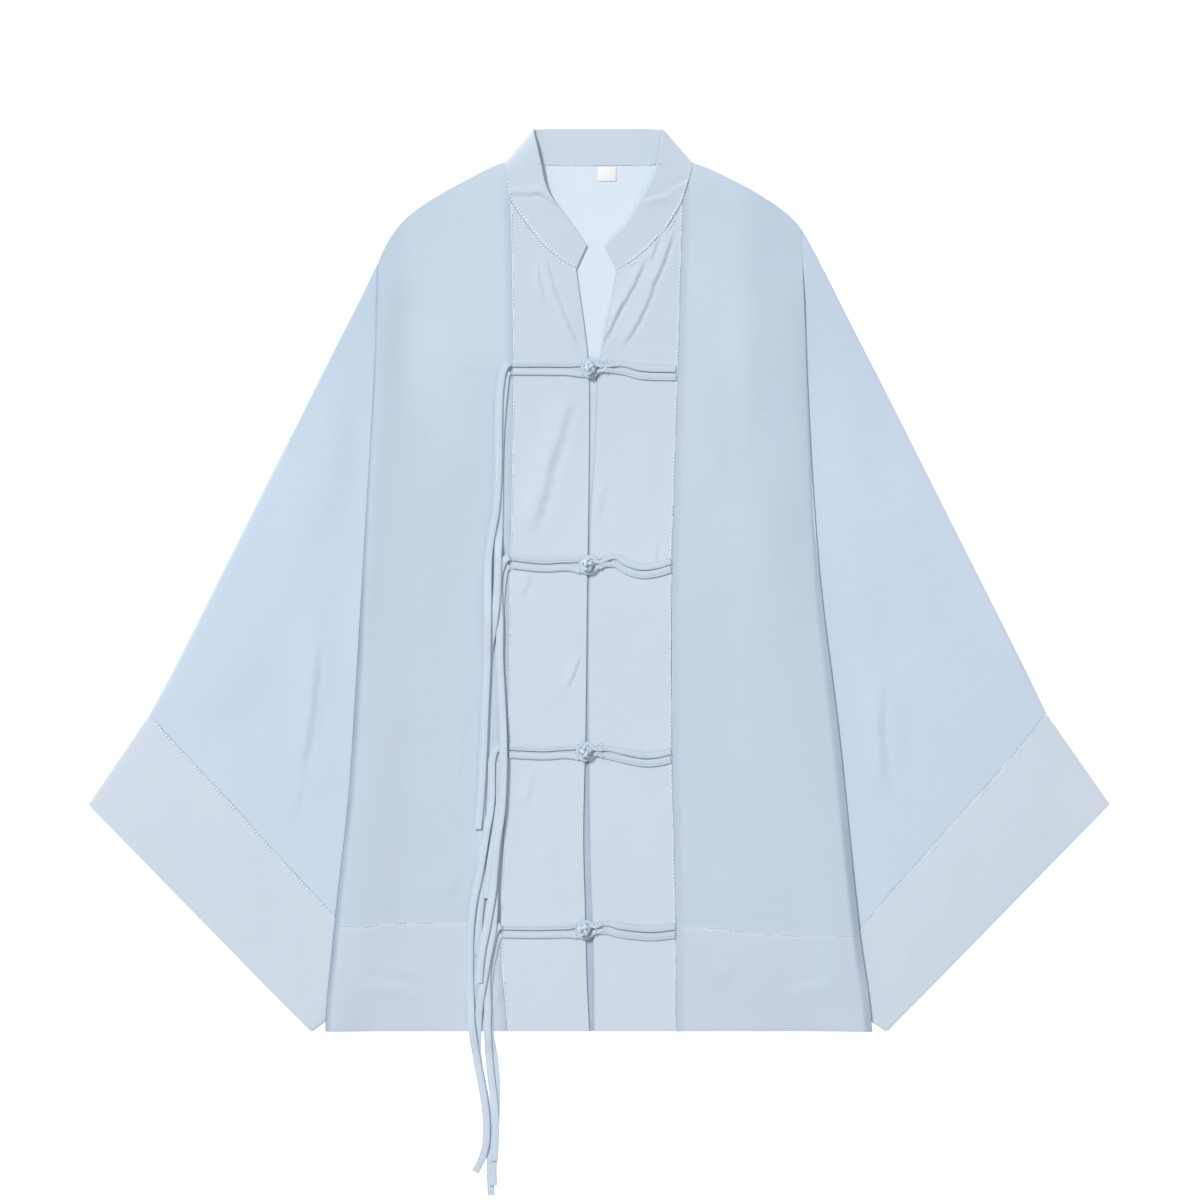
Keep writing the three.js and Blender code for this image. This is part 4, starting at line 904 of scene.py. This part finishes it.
# The stand collar: a doubled strip that is folded flat at the sides of the neck, with its back part
# lying behind and its two ends crossing the front towards each other.
COLLAR_CREASES = [
    ((-46, 340), (-86, 341), 0.6, 0.9, 1.5, 3.4),
    ((-33, 326), (-62, 345), -1.5, 1.1, 1.4, 3.2),
    ((34, 331), (66, 338), 1, 0.9, 1.5, 3.2),
    ((54, 338), (84, 353), -1, 0.5, 1.8, 2.6),
    ((-40, 312), (-22, 296), 2, 0.3, 5, 1.4),
]
COLLAR_UPPER = 2 * MM
BELOW_CREASES = (0.33, 0.31)
SEAM_PALE = (0.0036, 0.0022)
SEAM_SHADE = (0.0010, 0.0004, 0.0, 0.6)
SEAM_PALE_MOST = {"right": 0.8, "left": 0.45}
collar_mesh = cloth_shell("collar", 3, DOUBLED_RIM)
collar_points = mesh_points(collar_mesh)
collar_lift = crease_lift(collar_points, COLLAR_CREASES)
collar_points[:, 2] += np.where(collar_points[:, 2] > COLLAR_UPPER, collar_lift, 0)
for seam in (COLLAR_SEAMS["right"], COLLAR_SEAMS["left"], BACK_NECK_SEAM):
    close_seam(collar_points, seam)
set_points(collar_mesh, collar_points)
collar_cloth, collar_weave = cloth_material("collar_cloth", "CEDAE7", "C8D5E3", cloudy=0.7)
looks = Looks(collar_cloth, collar_weave)
for side, most in SEAM_PALE_MOST.items():
    off_seam = looks.off_seam(COLLAR_SEAMS[side])
    lower = looks.fade(looks.y, *BELOW_CREASES)
    pale = looks.fade(off_seam, *SEAM_PALE, 0.0, most)
    looks.tint(looks.maths("MULTIPLY", pale, lower), "E6F1FD")
    looks.tint(looks.maths("MULTIPLY", looks.fade(off_seam, *SEAM_SHADE), lower), "9FAEC2")
collar = lay_cloth("stand_collar", collar_mesh, collar_cloth, "collar")


# The fastenings: on each, a hairpin of folded strip holds a knot, and on the other band a second
# one ends in a loop round the knot's neck. Both are tacked down along their length.
CORD_WIDTH = 0.0064
STRIP_THICKNESS = 0.0015
STRAND_SPACING = 0.0072
BAND_TOP = 0.003
BUTTON_ANGLES = (60, 0, -60)
LOOP_RADIUS = 0.0071
LOOP_NARROW = 0.5
LOOP_EASE = 0.75
LOOP_ANGLES = (24, 50, 80, 110, 145, 180, 215, 250, 280, 310, 336)
# How far each loop stands out past its knot
LOOP_SHIFTS = [0.0008, 0.0017, 0.0004, 0.0013]
# Columns: knot, then the lines of the button cord and of the loop cord, all as x, y
FASTENINGS = [
    ((-0.0084, 0.1859), [(-0.030, 0.1866), (-0.076, 0.1869)],
     [(0.0202, 0.1864), (0.037, 0.1831), (0.0674, 0.182)]),
    ((-0.0106, 0.013), [(-0.030, 0.0146), (-0.048, 0.0136), (-0.076, 0.0164)],
     [(0.0141, 0.0168), (0.024, 0.0117), (0.037, 0.008), (0.049, 0.009), (0.063, 0.0128)]),
    ((-0.0119, -0.1511), [(-0.030, -0.1504), (-0.046, -0.1515), (-0.079, -0.1502)],
     [(0.008, -0.152), (0.023, -0.1547), (0.040, -0.1577), (0.053, -0.1568), (0.063, -0.1544)]),
    ((-0.0132, -0.3077), [(-0.030, -0.3082), (-0.052, -0.3087), (-0.084, -0.3083)],
     [(0.004, -0.3058), (0.0194, -0.3082), (0.033, -0.3098), (0.047, -0.3106), (0.0668, -0.3086)]),
]
cord_cloth = cloth_material("cord_cloth", "CCD9E7", "C2D0E2", threads=300, cloudy=0.6)[0]


def hairpin(line, turn, spread, low):
    """Points out along one side of a line, round the turn, and back along the other side."""
    outward = [(x, y + spread, low) for x, y in reversed(line)]
    back_again = [(x, y - spread, low) for x, y in line]
    return outward + turn + back_again


def ring(middle, radius, angles, height):
    """Points round a middle, at angles in degrees."""
    turns = [math.radians(angle) for angle in angles]
    return [
        (middle[0] + radius * math.cos(turn), middle[1] + radius * math.sin(turn), height)
        for turn in turns
    ]


strip_pieces = []
for number, (knot_at, button_line, loop_line) in enumerate(FASTENINGS, 1):
    low = BAND_TOP + LAYER_GAP + STRIP_THICKNESS / 2
    high = low + STRIP_THICKNESS + LAYER_GAP
    half = STRAND_SPACING / 2
    button_points = hairpin(button_line, ring(knot_at, half, BUTTON_ANGLES, low), half, low)
    button_cord = folded_strip(
        f"button_strip_{number}", button_points, CORD_WIDTH, STRIP_THICKNESS, cord_cloth
    )[0]
    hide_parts(f"button_cord_{number}")
    loop_middle = (knot_at[0] + LOOP_SHIFTS[number - 1], knot_at[1])
    loop_turn = ring(loop_middle, LOOP_RADIUS, LOOP_ANGLES, high)
    loop_points = hairpin(loop_line, loop_turn, half, low)
    plain = [1] * (len(loop_line) - 1)
    narrow = plain + [LOOP_EASE] + [LOOP_NARROW] * len(loop_turn) + [LOOP_EASE] + plain
    loop_cord = folded_strip(
        f"loop_strip_{number}", loop_points, CORD_WIDTH, STRIP_THICKNESS, cord_cloth, narrow
    )[0]
    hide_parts(f"loop_cord_{number}")
    strip_pieces.append((button_cord, loop_cord))


# The knots: the strip is plaited over and under itself into a tight ball on a short neck.
KNOT_RADIUS = 0.0044
KNOT_FLOOR = BAND_TOP + 2 * LAYER_GAP + STRIP_THICKNESS
KNOT_MIDDLE = KNOT_FLOOR + 0.0043
KNOT_SQUASH = 0.68
KNOT_TALL = 1.15
KNOT_LEADS = 3
KNOT_BIGHTS = 4
KNOT_STEPS = 110
KNOT_STRIP = 0.0031
KNOT_LATITUDE = 0.95
# The plait's middle line: how far out it runs, and how far it weaves over and under
KNOT_REACH = 0.79
KNOT_WEAVE = 0.13
KNOT_CORE = 0.8
KNOT_HOLLOW_SHADE = (0.92, 1.14)
NECK_RADII = (0.0026, 0.003)


def knot_mesh(middle, turn, number):
    """A closed plait on a ball, with a plain ball inside it and a neck below."""
    data = bpy.data.curves.new("knot", "CURVE")
    data.dimensions = "3D"
    data.bevel_depth = KNOT_STRIP / 2
    data.bevel_resolution = 2
    line = data.splines.new("POLY")
    line.points.add(KNOT_STEPS - 1)
    for i, point in enumerate(line.points):
        t = 2 * math.pi * KNOT_LEADS * i / KNOT_STEPS
        latitude = KNOT_LATITUDE * math.cos(KNOT_BIGHTS * t / KNOT_LEADS)
        weave = math.cos(KNOT_BIGHTS * (KNOT_LEADS - 1) * t / KNOT_LEADS + math.pi / 2)
        reach = KNOT_RADIUS * (KNOT_REACH + KNOT_WEAVE * weave)
        point.co = (
            reach * math.cos(latitude) * math.cos(t), reach * math.cos(latitude) * math.sin(t),
            reach * math.sin(latitude), 1,
        )
    line.use_cyclic_u = True
    guide = link_object("knot_guide", data)
    plait = final_mesh(guide)
    bpy.data.objects.remove(guide)
    shape = bmesh.new()
    shape.from_mesh(plait)
    bmesh.ops.create_icosphere(shape, subdivisions=3, radius=KNOT_CORE * KNOT_RADIUS)
    # Marks how deep in the plait each point lies, for painted shade in its hollows.
    hollow_shade = shape.verts.layers.float.new("hollow_shade")
    for vertex in shape.verts:
        vertex[hollow_shade] = 1 - eased(vertex.co.length / KNOT_RADIUS, *KNOT_HOLLOW_SHADE)
    bmesh.ops.rotate(shape, verts=shape.verts, cent=(0, 0, 0), matrix=turn)
    bmesh.ops.scale(shape, verts=shape.verts, vec=(1, KNOT_TALL, KNOT_SQUASH))
    bmesh.ops.translate(shape, verts=shape.verts, vec=(*middle, KNOT_MIDDLE))
    neck = bmesh.ops.create_cone(
        shape, cap_ends=True, segments=16, radius1=NECK_RADII[0], radius2=NECK_RADII[1],
        depth=KNOT_MIDDLE - KNOT_FLOOR,
    )["verts"]
    bmesh.ops.translate(shape, verts=neck, vec=(*middle, (KNOT_MIDDLE + KNOT_FLOOR) / 2))
    mesh = mesh_of(shape, f"knot_ball_{number}")
    tidy_mesh(mesh)
    return mesh


knot_cloth, knot_weave = cloth_material("knot_cloth", "D8E5F1", "D0DEEC", threads=300, cloudy=0.5)
knot_looks = Looks(knot_cloth, knot_weave)
# Painted shade: the hollows between the plait's strips and the ball inside are darker.
knot_looks.tint(knot_looks.marked("hollow_shade"), "7F90A8")
# How each knot is turned, in radians
KNOT_TURNS = [(0.5, 0.15, 0.3), (0.35, -0.2, 1.2), (-0.3, 0.3, 0.7), (0.2, -0.4, 0.1)]
for number, ((knot_at, _, _), turns) in enumerate(zip(FASTENINGS, KNOT_TURNS), 1):
    ball = knot_mesh(knot_at, Euler(turns).to_matrix(), number)
    knot = add_piece(f"knot_ball_{number}", ball, knot_cloth)
    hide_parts(f"knot_{number}")


# The stitching: short straight stitches of pale thread along the bands, the cuffs' seams, the
# collar's seam, the turned-up hem and the back neck.
pale_thread = cloth_material("pale_thread", "E2EEFC", "DAE7F6", cloudy=0.4)[0]
bright_thread = cloth_material("bright_thread", "EEF6FF", "E6F0FB", cloudy=0.4)[0]
dull_thread = cloth_material("dull_thread", "DAE4EE", "D2DDEA", cloudy=0.4)[0]
STITCH_PITCH = 3.1 * MM
STITCH_LENGTH = 2.4 * MM
STITCH_WIDTH = 0.8 * MM
COLLAR_STITCH_WIDTH = 1.15 * MM
NECK_EDGE_STITCH_WIDTH = 0.95 * MM
STITCH_SIZES = (0.8, 1.05)
STITCH_TURN = 0.08
LONG_RUN = 9 * MM
SHORT_RUN = 3.7 * MM
RUN_PHASES = 6
STITCH_RISE = 0.15 * MM
WELL_ABOVE = 0.05
# The share of each row that shows, and how far the rows lie from their seams, in millimetres
BAND_SHOWN = 0.6
HEM_SHOWN = 0.45
NECK_SHOWN = 0.5
COLLAR_SHOWN = {"right": 1.0, "left": 0.7}
NECK_EDGE_SHOWN = {"right": 0.8, "left": 0.35}
CUFF_SHOWN = {"right": 0.55, "left": 0.3}
BAND_ROW_IN = 1.1
COLLAR_ROW = (0.9, 1.2)
NECK_EDGE_ROW = (-1.2, -1.6)
CUFF_ROWS = (("near", 0.9), ("far", 2.4))
CUFF_WAY = (-0.75, -0.66)
HEM_ROW_UP = 1.2
NECK_ROW_UP = 0.9
random.seed(7)


def surface_tree(piece):
    shape = bmesh.new()
    shape.from_mesh(piece.data)
    tree = BVHTree.FromBMesh(shape)
    shape.free()
    return tree


def height_under(tree, x, y):
    """The height of a surface at a place in plan, or None where there is none."""
    hit = tree.ray_cast((x, y, WELL_ABOVE), (0, 0, -1))[0]
    return hit and hit.z


def add_stitch(shape, place, angle, length, width):
    stitch = bmesh.ops.create_cone(
        shape, cap_ends=True, segments=5, radius1=width / 2, radius2=width / 2, depth=length,
    )["verts"]
    tilt = Euler((0, math.pi / 2, angle)).to_matrix()
    bmesh.ops.rotate(shape, verts=stitch, cent=(0, 0, 0), matrix=tilt)
    bmesh.ops.translate(shape, verts=stitch, vec=place)


def stitch_piece(name, shape, thread):
    mesh = mesh_of(shape, name)
    for polygon in mesh.polygons:
        polygon.use_smooth = True
    return add_piece(name, mesh, thread)


def stitch_row(name, points, carrier, shown, thread=pale_thread, width=STITCH_WIDTH):
    """Stitches along a plan line, each seated on the cloth below it. They show in runs, and sink
    into the cloth between them."""
    tree = surface_tree(carrier)
    shape = bmesh.new()
    phase = random.uniform(0, RUN_PHASES)
    left_over = 0.0
    gone = 0.0
    for start, end in zip(points, points[1:]):
        start, end = Vector(start) * MM, Vector(end) * MM
        run = (end - start).length
        way = (end - start) / run
        at = left_over
        while at < run:
            x, y = start + way * at
            height = height_under(tree, x, y)
            runs = math.sin((gone + at) / LONG_RUN + phase) + math.sin((gone + at) / SHORT_RUN)
            if height is not None and (runs + 2) / 4 < shown:
                angle = math.atan2(way.y, way.x) + random.uniform(-STITCH_TURN, STITCH_TURN)
                length = STITCH_LENGTH * random.uniform(*STITCH_SIZES)
                add_stitch(shape, (x, y, height + STITCH_RISE), angle, length, width)
            at += STITCH_PITCH
        left_over = at - run
        gone += run
    stitch_piece(name, shape, thread)


def shifted(line, x, y):
    return [(px + x, py + y) for px, py in line]


pieces = {piece.name: piece for piece in bpy.context.scene.objects}
for side, inwards in (("right", 1), ("left", -1)):
    band = pieces[f"{side}_band_strip"]
    cuff = pieces[f"{side}_cuff_band"]
    front = pieces[f"{side}_front_panel"]
    band_line = shifted(BAND_SEAMS[side], BAND_ROW_IN * inwards, 0)
    stitch_row(f"{side}_band_stitches", band_line, band, BAND_SHOWN)
    collar_line = shifted(COLLAR_SEAMS[side][:-2], COLLAR_ROW[0] * inwards, COLLAR_ROW[1])
    stitch_row(f"{side}_collar_stitches", collar_line, collar, COLLAR_SHOWN[side],
               bright_thread, COLLAR_STITCH_WIDTH)
    edge_line = shifted(COLLAR_SEAMS[side][:-3], NECK_EDGE_ROW[0] * inwards, NECK_EDGE_ROW[1])
    stitch_row(f"{side}_neck_edge_stitches", edge_line, band, NECK_EDGE_SHOWN[side],
               bright_thread, NECK_EDGE_STITCH_WIDTH)
    for place, away in CUFF_ROWS:
        cuff_line = shifted(SEAM_LINES[side], CUFF_WAY[0] * away * inwards, CUFF_WAY[1] * away)
        stitch_row(f"{side}_cuff_stitches_{place}", cuff_line, cuff, CUFF_SHOWN[side])
    hem_line = shifted(sorted(HEM_FACING[side]), 0, HEM_ROW_UP)
    stitch_row(f"{side}_hem_stitches", hem_line, front, HEM_SHOWN, dull_thread)
neck_line = shifted(BACK_NECK_SEAM[1:-1], 0, NECK_ROW_UP)
stitch_row("neck_stitches", neck_line, collar, NECK_SHOWN)


# The tacks: beside each knot a column of upright stitches holds the button's strip, and a patch of
# crossed stitches holds the loop's two strands together.
TACK_LENGTH = 2.6 * MM
TACK_WIDTH = 0.7 * MM
# Places are in millimetres from the knot's middle, angles in radians. Each has its random spread
COLUMN_OUT = -7.2
COLUMN_SPREAD = 0.6
COLUMN_ROWS = 7
COLUMN_HEIGHT = 14
COLUMN_ANGLES = (1.3, 1.9)
ROWS_TOP = 7.5
PATCH_FROM = 9.6
PATCH_TO = 15
PATCH_COLUMNS = 4
PATCH_ROWS = 6
PATCH_HEIGHT = 12
PATCH_SPREAD = 1.2
PATCH_ANGLES = (0.4, 1.2)
for number, ((knot_at, _, _), strips) in enumerate(zip(FASTENINGS, strip_pieces), 1):
    below = [*strips, pieces["right_band_strip"], pieces["left_band_strip"], back]
    trees = [surface_tree(piece) for piece in below]
    places = []
    for row in range(COLUMN_ROWS):
        across = COLUMN_OUT + random.uniform(-COLUMN_SPREAD, COLUMN_SPREAD)
        along = ROWS_TOP - COLUMN_HEIGHT * row / (COLUMN_ROWS - 1)
        places.append((across, along, random.uniform(*COLUMN_ANGLES)))
    for column in range(PATCH_COLUMNS):
        across = PATCH_FROM + (PATCH_TO - PATCH_FROM) * column / (PATCH_COLUMNS - 1)
        for row in range(PATCH_ROWS):
            spread = random.uniform(-PATCH_SPREAD, PATCH_SPREAD)
            along = ROWS_TOP - PATCH_HEIGHT * row / (PATCH_ROWS - 1) + spread
            places.append((across, along, random.uniform(*PATCH_ANGLES) * (-1) ** (row + column)))
    tack_shape = bmesh.new()
    for across, along, angle in places:
        x, y = knot_at[0] + across * MM, knot_at[1] + along * MM
        top = max(height_under(tree, x, y) or 0 for tree in trees)
        add_stitch(tack_shape, (x, y, top + STITCH_RISE), angle, TACK_LENGTH, TACK_WIDTH)
    stitch_piece(f"fastening_tacks_{number}", tack_shape, pale_thread)


# Size label: a small folded piece of white woven tape, sewn into the back neck seam and left bare.
label_low, label_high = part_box("size_label")
label_cloth = cloth_material("label_tape", "F7F8FA", "F1F3F6", threads=420, cloudy=0.3, bump=0.2)[0]
LABEL_ROUNDING = 0.2 * MM
label_shape = bmesh.new()
bmesh.ops.create_cube(label_shape, size=1)
label_size = [high - low for low, high in zip(label_low, label_high)]
label_middle = [(high + low) / 2 for low, high in zip(label_low, label_high)]
bmesh.ops.scale(label_shape, verts=label_shape.verts, vec=label_size)
bmesh.ops.translate(label_shape, verts=label_shape.verts, vec=label_middle)
bmesh.ops.bevel(
    label_shape, geom=label_shape.edges[:], offset=LABEL_ROUNDING, segments=2, affect="EDGES",
    profile=0.5, material=-1,
)
label_mesh = mesh_of(label_shape, "label_tape")
tidy_mesh(label_mesh)
label = add_piece("label_tape", label_mesh, label_cloth)
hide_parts("size_label")


# The surface below, pale and plain, and a soft studio light from the upper left.
FLOOR_REACH = 30
floor_shape = bmesh.new()
bmesh.ops.create_grid(floor_shape, x_segments=1, y_segments=1, size=FLOOR_REACH)
floor_mesh = mesh_of(floor_shape, "floor")
floor = link_object("floor", floor_mesh)
floor_paint = bpy.data.materials.new("floor_paint")
floor_paint.use_nodes = True
feed(floor_paint.node_tree, floor_paint.node_tree.nodes["Principled BSDF"], {
    "Base Color": (0.95, 0.95, 0.95, 1), "Roughness": 0.9, "Emission Color": (1, 1, 1, 1),
    "Emission Strength": 0.75,
})
floor_mesh.materials.append(floor_paint)

world = bpy.data.worlds.new("studio")
world.use_nodes = True
feed(world.node_tree, world.node_tree.nodes["Background"], {"Color": (1, 1, 1, 1), "Strength": 0.4})
bpy.context.scene.world = world
bpy.context.scene.view_settings.view_transform = "Standard"


def soft_light(name, place, size, power):
    data = bpy.data.lights.new(name, "AREA")
    data.shape = "SQUARE"
    data.size = size
    data.energy = power
    lamp = link_object(name, data)
    lamp.location = place
    lamp.rotation_euler = (-Vector(place)).to_track_quat("-Z", "Y").to_euler()


soft_light("key_light", (-4.2, 4.7, 7.2), 2, 670)
soft_light("fill_light", (1.2, -1.4, 2.2), 1.6, 6)
